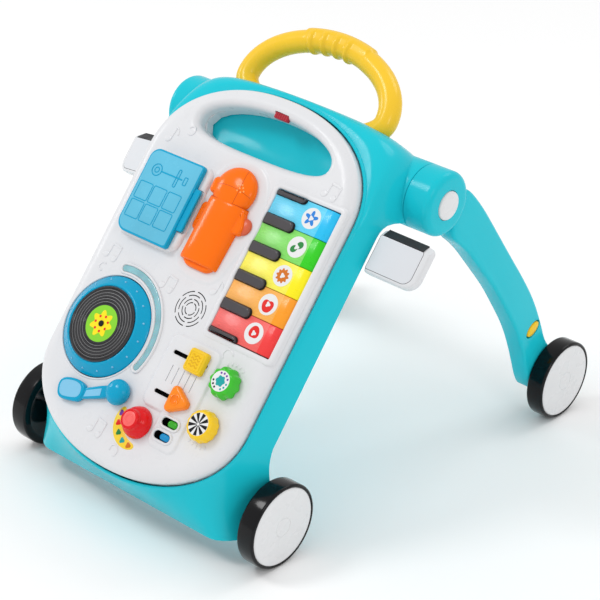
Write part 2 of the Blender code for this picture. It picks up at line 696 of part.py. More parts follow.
def board_top(board):
    """The white face of the board with its door base and its openings."""
    rings = [at_height(board_outline(), SPLIT_H + GAP / 2)]
    for step in range(5):
        angle = math.pi / 2 * step / 4
        inset = EDGE_ROUND * (1 - math.cos(angle))
        height = -EDGE_ROUND * (1 - math.sin(angle))
        rings.append(at_height(board_outline(-inset), height))
    top = skin("board_top", rings, board)
    left, right, low, high = BLUE_DOOR
    base = box("door_base", (left - 2, low - 2, -1.5), (right + 4, high + 2, 6.0), board)
    bevel(base, 4.5, 3)
    join(top, base)
    cavity = [at_height(cavity_outline(-SKIN), SPLIT_H - 5), at_height(cavity_outline(-SKIN), -9),
              at_height(cavity_outline(-SKIN - 6), -SKIN)]
    cut(top, skin("top_cavity", cavity, board))
    grows = ((9.5, 2), (7.0, 0.1), (3.6, -2), (1.2, -5), (0, -9), (0, -40))
    way = [at_height(carry_outline(grow), height) for grow, height in reversed(grows)]
    cut(top, skin("carry_way_top", way, board))
    keys_high = KEYS_LOW_V + KEY_COUNT * KEY_PITCH
    cut(top, box("piano_window", (KEY_LEFT_U - 0.8, KEYS_LOW_V - 0.8, -6),
                 (KEY_RIGHT_U + 0.9, keys_high + 0.8, 6), board))
    cut(top, cylinder("platter_way", PLATTER_R + 0.8, -6, 6, "Z", (*PLATTER_AT, 0), board, 32))
    light = band(PLATTER_AT, LIGHT_R, LIGHT_WIDTH + 0.7, LIGHT_FROM, LIGHT_TO, 10)
    cut(top, plate("light_way", light, -6, 6, board))
    for ring, radius in enumerate((6.5, 11.5, 16.5)):
        for piece in range(3):
            start = piece * 120 + ring * 33 + 7
            shape = band(SPEAKER_AT, radius, 2.0, start, start + 84, 4)
            cut(top, plate("grille_%d_%d" % (ring, piece), shape, -6, 6, board))
    for name, at in (("arm", ARM_AT), ("mode", MODE_KNOB_AT), ("green", GREEN_KNOB_AT),
                     ("yellow", YELLOW_KNOB_AT)):
        cut(top, cylinder(name + "_hole", SHAFT_R + 0.35, -6, 6, "Z", (*at, 0), board, 16))
    middle = (SLOT_LEFT_U + SLOT_RIGHT_U) / 2
    for name, at in (("square", SQUARE_SLIDER_AT), ("triangle", TRIANGLE_SLIDER_AT)):
        shape = slot_outline((middle, at[1]), SLOT_RIGHT_U - SLOT_LEFT_U, 4.4, 4)
        cut(top, plate(name + "_slot", shape, -6, 6, board))
    for name, u, v in SWITCH_SLOTS:
        cut(top, plate(name + "_slot", slot_outline((u, v), 22, 8.8, 6), -6, 6, board))
    top_v = CARRY_V + CARRY_RISE
    cut(top, box("latch_way", (-3.0, top_v - 6, -8.4), (17.0, top_v + 8.0, -1.6), board))
    return paint(top, "white")


def board_back(board):
    """The back half of the board, with the battery bay's opening."""
    rings = [at_height(board_outline(-2.0), BOARD_BACK), at_height(board_outline(), BOARD_BACK + 2),
             at_height(board_outline(), SPLIT_H - GAP / 2)]
    back = skin("board_back", rings, board)
    cavity = [at_height(cavity_outline(-SKIN), BOARD_BACK + SKIN),
              at_height(cavity_outline(-SKIN), SPLIT_H + 5)]
    cut(back, skin("back_cavity", cavity, board))
    way = [at_height(carry_outline(), h) for h in (BOARD_BACK - 12, 2)]
    cut(back, skin("carry_way_back", way, board))
    left, right, low, high = BAY
    cut(back, box("bay_way", (left, low, BOARD_BACK - 5), (right, high, BOARD_BACK + 5), board))
    middle = (left + right) / 2
    cut(back, box("tab_seat", (middle - 8, high - 1, BOARD_BACK - 1),
                  (middle + 8, high + 12, BOARD_BACK + 1.3), board))
    cut(back, cylinder("screw_way", 1.8, BOARD_BACK - 5, BOARD_BACK + 5, "Z",
                       (middle, high + 6, 0), board, 12))
    return paint(back, "white")


def battery_bay(board):
    """The battery door with its screw, and the three cells behind it."""
    left, right, low, high = BAY
    middle = (left + right) / 2
    lid = box("battery_door", (left + GAP, low + GAP, BOARD_BACK),
              (right - GAP, high - GAP, BOARD_BACK + 2.4), board)
    join(lid, box("door_tab", (middle - 7.6, high - 4, BOARD_BACK),
                  (middle + 7.6, high + 11.5, BOARD_BACK + 1.0), board))
    cut(lid, cylinder("tab_hole", 1.8, BOARD_BACK - 5, BOARD_BACK + 5, "Z",
                      (middle, high + 6, 0), board, 12))
    paint(lid, "white")
    screw = [(0, BOARD_BACK + 8), (1.5, BOARD_BACK + 7), (1.5, BOARD_BACK - 0.1),
             (3.0, BOARD_BACK - 0.1), (3.0, BOARD_BACK - 0.3), (0, BOARD_BACK - 0.3)]
    paint(turned("battery_screw", screw, board, (middle, high + 6, 0), steps=12), "steel")
    cell_h = BOARD_BACK + 2.8 + CELL_R
    for number in range(3):
        v = (low + high) / 2 + (number - 1) * (2 * CELL_R + 1.5)
        cell = cylinder("battery_cell_%d" % (number + 1), CELL_R, middle - CELL_LENGTH / 2,
                        middle + CELL_LENGTH / 2, "X", (0, v, cell_h), board, 16)
        paint(cell, "grey")


def piano(board):
    """Five keys that rock about a line under their left ends, and the raised dark keys."""
    high_v = KEYS_LOW_V + KEY_COUNT * KEY_PITCH
    profile = [(KEY_LEFT_U, 0.4), (KEY_RIGHT_U - 9, 0.4), (KEY_RIGHT_U, -3.0), (KEY_RIGHT_U, -5.2),
               (KEY_LEFT_U + 2, -5.2), (KEY_AXIS_U - 1.5, -7.2), (KEY_AXIS_U - 1.5, -4.2),
               (KEY_LEFT_U, -4.2)]
    for number, colour in enumerate(("sky", "leaf", "sun", "amber", "coral")):
        key_high = high_v - number * KEY_PITCH
        pivot = empty("key_pivot_%d" % (number + 1), board, (KEY_AXIS_U, key_high, KEY_AXIS_H))
        local = [(u - KEY_AXIS_U, h - KEY_AXIS_H) for u, h in profile]
        key = plate("piano_key_%d" % (number + 1), local, 0.25, KEY_PITCH - 0.25, pivot,
                    (math.pi / 2, 0, 0))
        paint(key, colour)
    spine = box("dark_keys", (KEY_LEFT_U, KEYS_LOW_V, 0.9), (KEY_LEFT_U + 3, high_v, 2.2), board)
    for number in range(KEY_COUNT + 1):
        v = high_v - number * KEY_PITCH
        low_v = max(v - 6.5, KEYS_LOW_V + 0.1)
        top_v = min(v + 6.5, high_v - 0.1)
        finger = box("dark_key_%d" % number, (KEY_LEFT_U + 1, low_v, 0.8), (90, top_v, 2.6), board)
        join(spine, bevel(finger, 0.7, 1))
    return paint(spine, "grey")


def electronics(board):
    circuit = box("circuit_board", (-30, -92, -12.6), (98, -12, -11.0), board)
    paint(circuit, "board")
    speaker = [(0, -4.0), (SPEAKER_R, -4.0), (SPEAKER_R, -6.0), (12.0, -10.0), (12.0, -14.0),
               (0, -14.0)]
    return paint(turned("speaker", speaker, board, (*SPEAKER_AT, 0), steps=24), "black")


def turntable(board):
    """The blue platter that turns with its black record."""
    platter = [(0, 8.4), (RECORD_R + 0.6, 8.4), (RECORD_R + 1.0, 9.4), (RECORD_R + 3, 9.6),
               (PLATTER_R - 1.2, 1.4), (PLATTER_R, 0.4), (PLATTER_R, -1.6), (0, -1.6)]
    paint(turned("platter", platter, board, (*PLATTER_AT, 0), steps=36), "blue")
    record = [(0, 10.2), (RECORD_R - 0.8, 10.2), (RECORD_R, 9.6), (RECORD_R, 8.7), (0, 8.7)]
    paint(turned("record", record, board, (*PLATTER_AT, 0), steps=28), "black")
    shape = band(PLATTER_AT, LIGHT_R, LIGHT_WIDTH, LIGHT_FROM, LIGHT_TO, 10)
    return paint(plate("light_strip", shape, -2.2, 1.0, board), "aqua")


def tone_arm(board):
    """A ball-topped lever that swings over the board."""
    ball = turned("tone_arm", [(0, 15.6), (7.0, 14.4), (12.2, 10.6), (14.2, 6.0), (13.2, 1.4),
                               (SHAFT_R, 0.6), (SHAFT_R, -7.0), (0, -7.0)],
                  board, (*ARM_AT, 0), steps=24)
    reach = (-58.0, -20.5)
    aim = math.atan2(reach[1], reach[0])
    length = math.hypot(*reach)
    u, v = ARM_AT
    pivot = empty("arm_line", board, (u, v, 0), (0, 0, aim))
    join(ball, bevel(box("arm_bar", (6, -6.2, 1.6), (length, 6.2, 6.6), pivot), 1.2, 1))
    join(ball, bevel(box("arm_pad", (length - 20, -10, 1.4), (length + 18, 10, 7.0), pivot), 2.0, 2))
    return paint(ball, "blue")


def knobs(board):
    cone = [(0, 18.6), (9.2, 18.6), (10.2, 17.4), (10.8, 13.4), (13.0, 12.2), (16.2, 8.0), (17.5, 3.0),
            (17.5, 0.7), (SHAFT_R, 0.7), (SHAFT_R, -7.0), (0, -7.0)]
    paint(turned("mode_knob", cone, board, (*MODE_KNOB_AT, 0), steps=28), "red")
    pair = (("green", GREEN_KNOB_AT, 8, 1.6), ("yellow", YELLOW_KNOB_AT, 12, 0.8))
    for name, at, lobes, depth in pair:
        outline = scalloped(KNOB_R, depth, lobes, 48)
        knob = plate(name + "_knob", outline, 0.7, KNOB_H, board, at=(*at, 0))
        bevel(knob, 1.6, 1, 60)
        join(knob, cylinder(name + "_shaft", SHAFT_R, -7, 3, "Z", (*at, 0), board, 16))
        paint(knob, name)


def sliders(board):
    u, v = SQUARE_SLIDER_AT
    square = box("square_slider", (u - 12, v - 12.5, 0.6), (u + 12, v + 12.5, 9.0), board)
    bevel(square, 2.4, 2)
    join(square, box("square_stem", (u - 3, v - 1.9, -6), (u + 3, v + 1.9, 3), board))
    paint(square, "yellow")
    u, v = TRIANGLE_SLIDER_AT
    corners = []
    for turn in (0, 120, 240):
        centre = (10.5 * math.cos(math.radians(turn)), 10.5 * math.sin(math.radians(turn)))
        corners += arc_points(centre, 5.5, turn - 60, turn + 60, 5)
    triangle = plate("triangle_slider", corners, 0.6, 9.0, board, at=(u, v, 0))
    bevel(triangle, 1.8, 2, 50)
    join(triangle, box("triangle_stem", (u - 3, v - 1.9, -6), (u + 3, v + 1.9, 3), board))
    paint(triangle, "orange")
    for name, u, v in SWITCH_SLOTS:
        nub = plate(name, slot_outline((0, 0), 13.6, 7.8, 6), -5.0, 2.0, board, at=(u + 3.9, v, 0))
        paint(bevel(nub, 1.2, 1, 50), name.split("_")[0])


def doors(board):
    left, right, low, high = BLUE_DOOR
    hinge_h = 9.4
    blue = box("blue_door", (left, low, 6.6), (right, high, 12.6), board,
               origin=(left, (low + high) / 2, hinge_h))
    bevel(blue, 2.0, 2)
    tab = box("blue_door_tab", (right - 4, 124, 7.0), (right + 8, 174.0, 10.6), board)
    join(blue, bevel(tab, 1.0, 1))
    paint(blue, "blue")
    left, right, low, high = MIC_DOOR
    body = box("microphone_door", (left, low, 0.6), (right, high, 12.5), board,
               origin=(left, (low + high) / 2, 1.5))
    bevel(body, 5.0, 3)
    head = turned("mic_head", [(0, 15.0), (9, 14.2), (17, 11.8), (22.5, 7.5), (MIC_HEAD_R, 0.6), (0, 0.6)],
                  board, (*MIC_HEAD_AT, 0), steps=28)
    mic_tab = box("mic_tab", (right - 4, 140, 0.6), (right + 5, 165, 4.4), board)
    join(body, head, bevel(mic_tab, 1.0, 1))
    paint(body, "orange")


def latch(board):
    top_v = CARRY_V + CARRY_RISE
    lever = box("release_latch", (-2.6, top_v - 3.2, -8.0), (16.6, top_v + 4.6, -2.0), board)
    return paint(bevel(lever, 0.8, 1), "dark_red")


def shade_parts():
    for obj in PARTS.objects:
        if obj.type == "MESH":
            obj.data.shade_smooth()
            obj.data.set_sharp_from_angle(angle=math.radians(35))


remove_everything()
PARTS = new_collection("baby_walker")
CUTTERS = new_collection("cutters")

board_frame = empty("board_frame", at=(0, FACE_Y, FACE_Z), turn=(LEAN, 0, 0))
front_shell(board_frame)
rear_shell(board_frame)
handle(board_frame)
for side_name, side_sign in (("left", -1), ("right", 1)):
    leg(side_name, side_sign)
    leg_cover(side_name, side_sign)
    selector(side_name, side_sign)
    hinge_parts(side_name, side_sign)
    side_flap(side_name, side_sign, board_frame)
    wheel("front_" + side_name, FRONT_AXLE_Y, FRONT_WHEEL_X, side_sign)
    wheel("rear_" + side_name, REAR_AXLE_Y, REAR_WHEEL_X, side_sign)
axles()
board_top(board_frame)
board_back(board_frame)
battery_bay(board_frame)
piano(board_frame)
electronics(board_frame)
turntable(board_frame)
tone_arm(board_frame)
knobs(board_frame)
sliders(board_frame)
doors(board_frame)
latch(board_frame)
shade_parts()
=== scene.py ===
"""Looks of the baby walker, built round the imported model.

Lengths are in millimetres and become metres through MM. World axes: +Z up, the music board
faces -Y. Pieces on the board are made in its leaning frame: X across, Y up the slope, Z out of
its face. Pieces that come in pairs are made on the +X side and mirrored.
"""
import math

import bmesh
import bpy
from mathutils import Matrix, Vector


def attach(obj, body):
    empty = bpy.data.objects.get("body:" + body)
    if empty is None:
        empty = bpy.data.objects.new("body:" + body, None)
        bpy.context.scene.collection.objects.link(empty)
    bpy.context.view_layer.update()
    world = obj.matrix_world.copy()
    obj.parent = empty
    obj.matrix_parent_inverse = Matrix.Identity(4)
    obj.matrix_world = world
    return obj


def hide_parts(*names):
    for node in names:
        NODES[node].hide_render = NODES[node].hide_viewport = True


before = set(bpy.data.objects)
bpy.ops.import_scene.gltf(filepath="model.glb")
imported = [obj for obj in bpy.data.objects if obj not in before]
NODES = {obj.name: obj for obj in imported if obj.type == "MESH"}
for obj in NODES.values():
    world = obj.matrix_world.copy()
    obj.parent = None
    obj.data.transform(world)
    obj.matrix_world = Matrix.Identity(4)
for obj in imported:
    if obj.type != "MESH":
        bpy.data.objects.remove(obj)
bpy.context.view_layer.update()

MM = 0.001

# Stance, as in the model
WHEEL_R, TYRE_WIDTH, HUB_R = 48.0, 21.8, 44.1
FRONT_AXLE_Y, REAR_AXLE_Y = -216.3, 254.1
FRONT_WHEEL_X, REAR_WHEEL_X = 162.0, 187.1
LEAN = math.radians(51.94)
FACE_Y, FACE_Z = -222.2, 184.6
HINGE_Y, HINGE_Z = 14.9, 343.4
BOSS_R, BOSS_X, BOSS_INNER_X = 36.0, 157.3, 119.0
LEG_INNER_X, LEG_OUTER_X, HUB_FACE_X = 163.5, 186.5, 189.6
CAP_R, CAP_FACE_X = 16.0, 191.9
LEG_REAR = ((34, 12), (66, -19), (100, -62), (132, -103), (164, -143), (190, -179), (210, -216),
            (224, -247), (244, -263), (256, -281), (255, -301), (240, -312))
LEG_FRONT = ((14, -43), (48, -70), (79, -105), (111, -141), (136, -175), (160, -209), (177, -242),
             (190, -273), (197, -290), (208, -307))
SELECTOR_AT, SELECTOR_TURN = (192.6, -217.8), math.radians(30)

# The music board and the frame round it
HALF_W = 143.5
TOP_V, TOP_RISE, TOP_POWER = 200.0, 101.5, 2.2
BOTTOM_V, BOTTOM_DROP, BOTTOM_POWER = -36.0, 97.5, 2.1
SPLIT_H = -15.85
EDGE_WIDE, EDGE_DEEP = 16.0, 9.0
RIM_HALF_W, RIM_TOP_V, RIM_BOTTOM_V = 157.2, 314.0, -149.0
RIM_TOP_POWER, RIM_CORNER = 5.5, 36.0
FRAME_WALL, FLOOR_H, LIP_H = 2.4, -28.6, -14.5
RIM_STATIONS = (
    (-149, -62), (-134, -82), (-120, -102), (-106, -109), (-92, -105), (-82, -90),
    (-70, -70), (-56, -56), (-44, -49), (-26, -44.5), (212, -44.5), (224, -52),
    (234, -74), (243, -100), (254, -117), (271, -123), (288, -117), (301, -100),
    (309, -78), (314, -66),
)
CARRY_V, CARRY_HALF_W, CARRY_RISE, CARRY_DROP = 250.0, 92.0, 31.0, 19.0

# Handle and side flaps
HANDLE_H, HANDLE_V, HANDLE_HALF_W, HANDLE_RISE, HANDLE_DROP = -50.0, 322.9, 98.5, 61.6, 36.0
HANDLE_R, GRIP_HALF_W, GRIP_RIBS = 12.4, 42.0, (-34.0, -17.0, 0.0, 17.0)
FLAP_HINGE_U, FLAP_HINGE_H = 161.5, -47.0
FLAP_SPLAYS = (("left", -1, math.radians(25)), ("right", 1, math.radians(5)))
FLAP_LOW_V, FLAP_HIGH_V, FLAP_LENGTH, FLAP_THICK = 168.0, 218.0, 62.0, 14.0

# Controls, (across, up the slope)
KEY_COUNT, KEY_PITCH, KEYS_LOW_V = 5, 33.0, 43.7
KEY_LEFT_U, KEY_RIGHT_U = 50.2, 134.0
KEYS_HIGH_V = KEYS_LOW_V + KEY_COUNT * KEY_PITCH
PLATTER_AT, PLATTER_R, RECORD_R = (-74.4, 0.6), 56.5, 42.3
LIGHT_R, LIGHT_WIDTH, LIGHT_FROM, LIGHT_TO = 66.4, 7.0, -22.0, 101.0
SPEAKER_AT = (16.2, 55.8)
ARM_AT = (-15.5, -56.5)
MODE_KNOB_AT = (23.0, -75.0)
GREEN_KNOB_AT, YELLOW_KNOB_AT = (103.2, 1.8), (102.6, -47.4)
KNOB_R, KNOB_H = 17.5, 14.0
SQUARE_SLIDER_AT, TRIANGLE_SLIDER_AT = (59.0, 8.6), (58.5, -36.2)
SLOT_LEFT_U, SLOT_RIGHT_U = 23.5, 72.0
SWITCHES = (("green_switch", 61.5, -60.5), ("blue_switch", 59.5, -76.0))
BLUE_DOOR = (-119.0, -42.0, 101.0, 199.0)
MIC_LOW_V = 101.0
MIC_HEAD_AT, MIC_BODY_TOP = (2.5, 188.0), 173.5
MIC_DOME = ((0, 0.7), (25.4, 0.7), (26.2, 1.6), (26.6, 3.4), (26.4, 5.4), (25.5, 7.8), (23.8, 10.0),
            (21.0, 11.9), (17.4, 13.4), (13.3, 14.5), (8.8, 15.2), (4.4, 15.5), (0, 15.6))

# Camera: where it stands, which way it looks, how long its lens is
CAMERA_AT = (1312.87, -1544.2, 1206.88)
CAMERA_AZIMUTH, CAMERA_ELEVATION, CAMERA_ROLL = 40.22, 27.1623, 3.0594
CAMERA_LENS = 120.879

BOARD = Matrix.Translation((0, FACE_Y * MM, FACE_Z * MM)) @ Matrix.Rotation(LEAN, 4, "X")
SIDEWAYS = Matrix(((0, 0, 1, 0), (1, 0, 0, 0), (0, 1, 0, 0), (0, 0, 0, 1)))
LEG = Matrix.Translation((0, HINGE_Y * MM, HINGE_Z * MM)) @ SIDEWAYS


# ---------------------------------------------------------------- materials

def new_material(name):
    material = bpy.data.materials.new(name)
    material.use_nodes = True
    tree = material.node_tree
    shader = tree.nodes["Principled BSDF"]
    place = tree.nodes.new("ShaderNodeTexCoord").outputs["Object"]
    return material, tree, shader, place


def noise(tree, place, scale, detail=2.0, roughness=0.5):
    node = tree.nodes.new("ShaderNodeTexNoise")
    node.inputs["Scale"].default_value = scale
    node.inputs["Detail"].default_value = detail
    node.inputs["Roughness"].default_value = roughness
    tree.links.new(place, node.inputs["Vector"])
    return node.outputs["Fac"]


def spread(tree, value, low, high, start=0.3, stop=0.7):
    """The value's middle range stretched over low to high."""
    node = tree.nodes.new("ShaderNodeMapRange")
    for key, number in zip(("From Min", "From Max", "To Min", "To Max"), (start, stop, low, high)):
        node.inputs[key].default_value = number
    tree.links.new(value, node.inputs["Value"])
    return node.outputs["Result"]


def math_node(tree, operation, *values):
    node = tree.nodes.new("ShaderNodeMath")
    node.operation = operation
    for socket, value in zip(node.inputs, values):
        if isinstance(value, (int, float)):
            socket.default_value = value
        else:
            tree.links.new(value, socket)
    return node.outputs["Value"]


def mix(tree, share, one, two):
    node = tree.nodes.new("ShaderNodeMix")
    node.data_type = "RGBA"
    tree.links.new(share, node.inputs["Factor"])
    for socket, colour in ((node.inputs["A"], one), (node.inputs["B"], two)):
        if isinstance(colour, tuple):
            socket.default_value = (*colour, 1.0)
        else:
            tree.links.new(colour, socket)
    return node.outputs["Result"]


def shade(colour, factor):
    return tuple(min(channel * factor, 1.0) for channel in colour)


def surface(tree, shader, place, roughness, ripple):
    """Uneven gloss and the faint ripple that moulding leaves."""
    gloss = noise(tree, place, 70.0, 3.0)
    tree.links.new(spread(tree, gloss, roughness * 0.8, roughness * 1.25), shader.inputs["Roughness"])
    bump = tree.nodes.new("ShaderNodeBump")
    bump.inputs["Strength"].default_value = ripple
    bump.inputs["Distance"].default_value = 0.0003
    fine = noise(tree, place, 60.0, 1.0)
    tree.links.new(fine, bump.inputs["Height"])
    tree.links.new(bump.outputs["Normal"], shader.inputs["Normal"])


def cloudy(name, one, two, scale, detail, roughness, ripple, **settings):
    """A material that wanders between two colours; settings are further shader inputs."""
    material, tree, shader, place = new_material(name)
    share = spread(tree, noise(tree, place, scale, detail), 0.0, 1.0)
    tree.links.new(mix(tree, share, one, two), shader.inputs["Base Color"])
    surface(tree, shader, place, roughness, ripple)
    for socket, value in settings.items():
        shader.inputs[socket.replace("_", " ")].default_value = value
    return material


def plastic(name, colour, roughness=0.2, coat=0.06, drift=0.94, ripple=0.05, specular=0.2):
    """Moulded plastic with a slow drift of colour through it."""
    return cloudy(name, shade(colour, drift), colour, 14.0, 2.0, roughness, ripple,
                  Specular_IOR_Level=specular, Coat_Weight=coat, Coat_Roughness=0.08)


def rubber(name, colour):
    """Matt rubber with a fine grain."""
    return cloudy(name, shade(colour, 0.6), shade(colour, 1.5), 900.0, 3.0, 0.55, 0.5)


def metal(name, colour):
    """Plain drawn steel."""
    return cloudy(name, shade(colour, 0.8), colour, 160.0, 3.0, 0.3, 0.1, Metallic=1.0)


def clear_plastic(name, colour):
    """The see-through cover of the lights: tinted and glossy."""
    return cloudy(name, shade(colour, 0.8), shade(colour, 1.12), 55.0, 2.0, 0.1, 0.05,
                  Coat_Weight=0.8, Subsurface_Weight=0.25, Subsurface_Scale=0.003)


def vinyl(name, colour):
    """The record: near black, its gloss broken up round the grooves."""
    return cloudy(name, colour, shade(colour, 1.6), 30.0, 2.0, 0.22, 0.05, Coat_Weight=0.4)


def key_plastic(name, colour, band):
    """A piano key: brushed-looking printed face with a stronger band at its free end."""
    material, tree, shader, place = new_material(name)
    turn = tree.nodes.new("ShaderNodeMapping")
    turn.inputs["Rotation"].default_value = (0, 0, math.radians(24))
    turn.inputs["Scale"].default_value = (1.0, 16.0, 1.0)
    tree.links.new(place, turn.inputs["Vector"])
    streaks = spread(tree, noise(tree, turn.outputs["Vector"], 110.0, 4.0, 0.7), 0.0, 1.0)
    face = mix(tree, streaks, shade(colour, 0.86), shade(colour, 1.16))
    split = tree.nodes.new("ShaderNodeSeparateXYZ")
    tree.links.new(place, split.inputs["Vector"])
    at_end = math_node(tree, "GREATER_THAN", split.outputs["X"], 0.1175)
    end = mix(tree, streaks, shade(band, 0.94), shade(band, 1.05))
    tree.links.new(mix(tree, at_end, face, end), shader.inputs["Base Color"])
    surface(tree, shader, place, 0.3, 0.06)
    shader.inputs["Specular IOR Level"].default_value = 0.3
    shader.inputs["Coat Weight"].default_value = 0.1
    return material


def vinyl(name, colour):
    """The record: near black, its gloss broken up round the grooves."""
    material, tree, shader, place = new_material(name)
    share = spread(tree, noise(tree, place, 30.0, 2.0), 0.0, 1.0)
    tree.links.new(mix(tree, share, colour, shade(colour, 1.6)), shader.inputs["Base Color"])
    surface(tree, shader, place, 0.22, 0.05)
    shader.inputs["Coat Weight"].default_value = 0.4
    return material


PLASTICS = (  # look, material, colour, then the roughness, coat, drift, ripple and specular of plastic()
    ("teal", "teal_gloss", (0.012, 0.560, 0.665), 0.2, 0.05, 0.97, 0.03, 0.12),
    ("white", "white_gloss", (0.74, 0.745, 0.765), 0.30, 0.1, 0.97),
    ("bright_white", "disc_white", (0.77, 0.775, 0.785), 0.28, 0.12, 0.985, 0.02),
    ("handle", "handle_yellow", (0.93, 0.58, 0.030), 0.25, 0.12, 0.96),
    ("yellow", "control_yellow", (0.93, 0.60, 0.02), 0.22, 0.12),
    ("relief_yellow", "relief_yellow", (0.78, 0.44, 0.01), 0.3, 0.05),
    ("black", "tyre_black", (0.003, 0.003, 0.004), 0.16, 0.08),
    # painted shade: the near black put in slot bottoms, recesses and gaps for the darkness down in them
    ("dark", "dark_inside", (0.003, 0.003, 0.004), 0.6, 0.0),
    ("blue", "deep_blue", (0.0, 0.36, 0.60), 0.18, 0.06),
    # painted sheen: a lighter copy of the door's blue for its lit face
    ("door", "door_blue", (0.13, 0.53, 0.74), 0.24, 0.08, 0.86),
    ("pale_blue", "pale_blue", (0.22, 0.56, 0.80), 0.3, 0.1),
    ("orange", "microphone_orange", (1.0, 0.165, 0.0), 0.16, 0.06, 0.97),
    # painted shade: the darker orange of the shade in the microphone's seams
    ("dark_orange", "microphone_seam", (0.60, 0.075, 0.002), 0.3, 0.05),
    ("apricot", "microphone_dots", (0.98, 0.42, 0.12), 0.3, 0.1),
    ("tangerine", "slider_orange", (0.98, 0.25, 0.012), 0.2, 0.15),
    ("coral", "coral_tab", (0.72, 0.13, 0.06), 0.3, 0.1),
    ("red", "knob_red", (0.76, 0.008, 0.012), 0.16, 0.1, 0.95),
    ("pink_red", "knob_top_red", (0.95, 0.15, 0.14), 0.22, 0.1),
    ("green", "knob_green", (0.05, 0.52, 0.03), 0.2, 0.15),
    ("switch_green", "switch_green", (0.04, 0.40, 0.02), 0.15, 0.2),
    ("switch_blue", "switch_blue", (0.004, 0.28, 0.60), 0.15, 0.2),
    ("dark_red", "latch_red", (0.44, 0.022, 0.04), 0.3, 0.1),
    ("silver", "flap_silver", (0.74, 0.755, 0.79), 0.10, 0.3, 0.97, 0.02),
    ("key_black", "raised_key_grey", (0.070, 0.064, 0.070), 0.22, 0.25),
    ("outline", "outline_black", (0.003, 0.003, 0.004), 0.4, 0.05),
    # painted sheen: the light grey of the glint of light along the record's grooves
    ("groove", "record_groove", (0.30, 0.30, 0.31), 0.25, 0.3, 0.5),
    ("paper", "sticker_white", (0.80, 0.80, 0.80), 0.4, 0.05, 0.98, 0.02),
    ("circuit", "circuit_green", (0.01, 0.12, 0.04), 0.4, 0.1),
    ("cell", "cell_wrap", (0.10, 0.10, 0.12), 0.35, 0.1),
    ("lime", "label_green", (0.24, 0.66, 0.03), 0.35, 0.1),
    ("sun", "label_yellow", (0.95, 0.78, 0.01), 0.35, 0.1),
    ("label_red", "label_red", (0.78, 0.02, 0.015), 0.35, 0.1),
    ("label_blue", "label_blue", (0.015, 0.22, 0.70), 0.35, 0.1),
    ("label_teal", "label_teal", (0.01, 0.36, 0.36), 0.35, 0.1),
    ("label_purple", "label_purple", (0.16, 0.04, 0.36), 0.35, 0.1),
    ("label_leaf", "label_leaf", (0.02, 0.24, 0.05), 0.35, 0.1),
    ("label_brown", "label_brown", (0.66, 0.17, 0.01), 0.35, 0.1),
    ("crescent", "crescent_yellow", (0.93, 0.66, 0.04), 0.35, 0.1),
)
LOOKS = {look: plastic(*finish) for look, *finish in PLASTICS}
LOOKS.update({
    "rubber": rubber("black_rubber", (0.010, 0.010, 0.012)),
    "record": vinyl("record_black", (0.006, 0.006, 0.008)),
    "aqua": clear_plastic("light_cover", (0.24, 0.50, 0.56)),
    "steel": metal("axle_steel", (0.62, 0.62, 0.64)),
})
KEYS = (
    ("sky", (0.11, 0.62, 0.88), (0.015, 0.52, 0.88), "label_blue"),
    ("leaf", (0.22, 0.70, 0.13), (0.03, 0.62, 0.01), "label_leaf"),
    ("sun", (0.98, 0.84, 0.09), (0.98, 0.84, 0.005), "label_brown"),
    ("amber", (0.96, 0.42, 0.08), (0.98, 0.34, 0.015), "label_red"),
    ("coral", (0.86, 0.12, 0.11), (0.88, 0.045, 0.045), "label_red"),
)


# ---------------------------------------------------------------- outlines

def quarter(steps):
    """Angles of a quarter turn, from 0 to 90 degrees."""
    return [math.pi / 2 * i / steps for i in range(steps + 1)]


def arc(centre, radius, start, end, steps):
    cx, cy = centre
    angles = [math.radians(start + (end - start) * i / steps) for i in range(steps + 1)]
    return [(cx + radius * math.cos(a), cy + radius * math.sin(a)) for a in angles]


def disc(centre, radius, steps=48):
    return lambda grow=0.0: arc(centre, radius + grow, 0, 360, steps)[:-1]


def rounded(left, right, low, high, corner, steps=6):
    """A rounded rectangle that can grow; corner is one radius, or four from top right round."""
    corners = corner if isinstance(corner, tuple) else (corner,) * 4
    spots = ((right, high, -1, -1), (left, high, 1, -1), (left, low, 1, 1), (right, low, -1, 1))

    def outline(grow=0.0):
        points = []
        for turn, (x, y, to_x, to_y), radius in zip((0, 90, 180, 270), spots, corners):
            centre = (x + to_x * radius, y + to_y * radius)
            points += arc(centre, max(radius + grow, 0.05), turn, turn + 90, steps)
        return points
    return outline


def capsule(centre, length, width, angle=0.0, steps=8):
    """A straight slot with round ends, turned by an angle."""
    def outline(grow=0.0):
        reach, radius = (length - width) / 2, width / 2 + grow
        right = arc((reach, 0), radius, -90, 90, steps)
        left = arc((-reach, 0), radius, 90, 270, steps)
        spin = Matrix.Rotation(math.radians(angle), 2)
        return [tuple(spin @ Vector(p) + Vector(centre)) for p in right + left]
    return outline


def bow(centre, radius, width, start, end, steps=24, cap=6):
    """A curved strip with round ends."""
    def outline(grow=0.0):
        half = width / 2 + grow
        first, last = arc(centre, radius, start, end, 1)
        outside = arc(centre, radius + half, start, end, steps)
        end_cap = arc(last, half, end, end + 180, cap)[1:-1]
        inside = arc(centre, radius - half, end, start, steps)
        start_cap = arc(first, half, start + 180, start + 360, cap)[1:-1]
        return outside + end_cap + inside + start_cap
    return outline


def polar(centre, reach, steps=96):
    """A closed outline whose distance from its centre is a function of the angle."""
    def outline(grow=0.0):
        points = []
        for i in range(steps):
            angle = 2 * math.pi * i / steps
            distance = reach(angle) + grow
            points.append((centre[0] + distance * math.cos(angle),
                           centre[1] + distance * math.sin(angle)))
        return points
    return outline


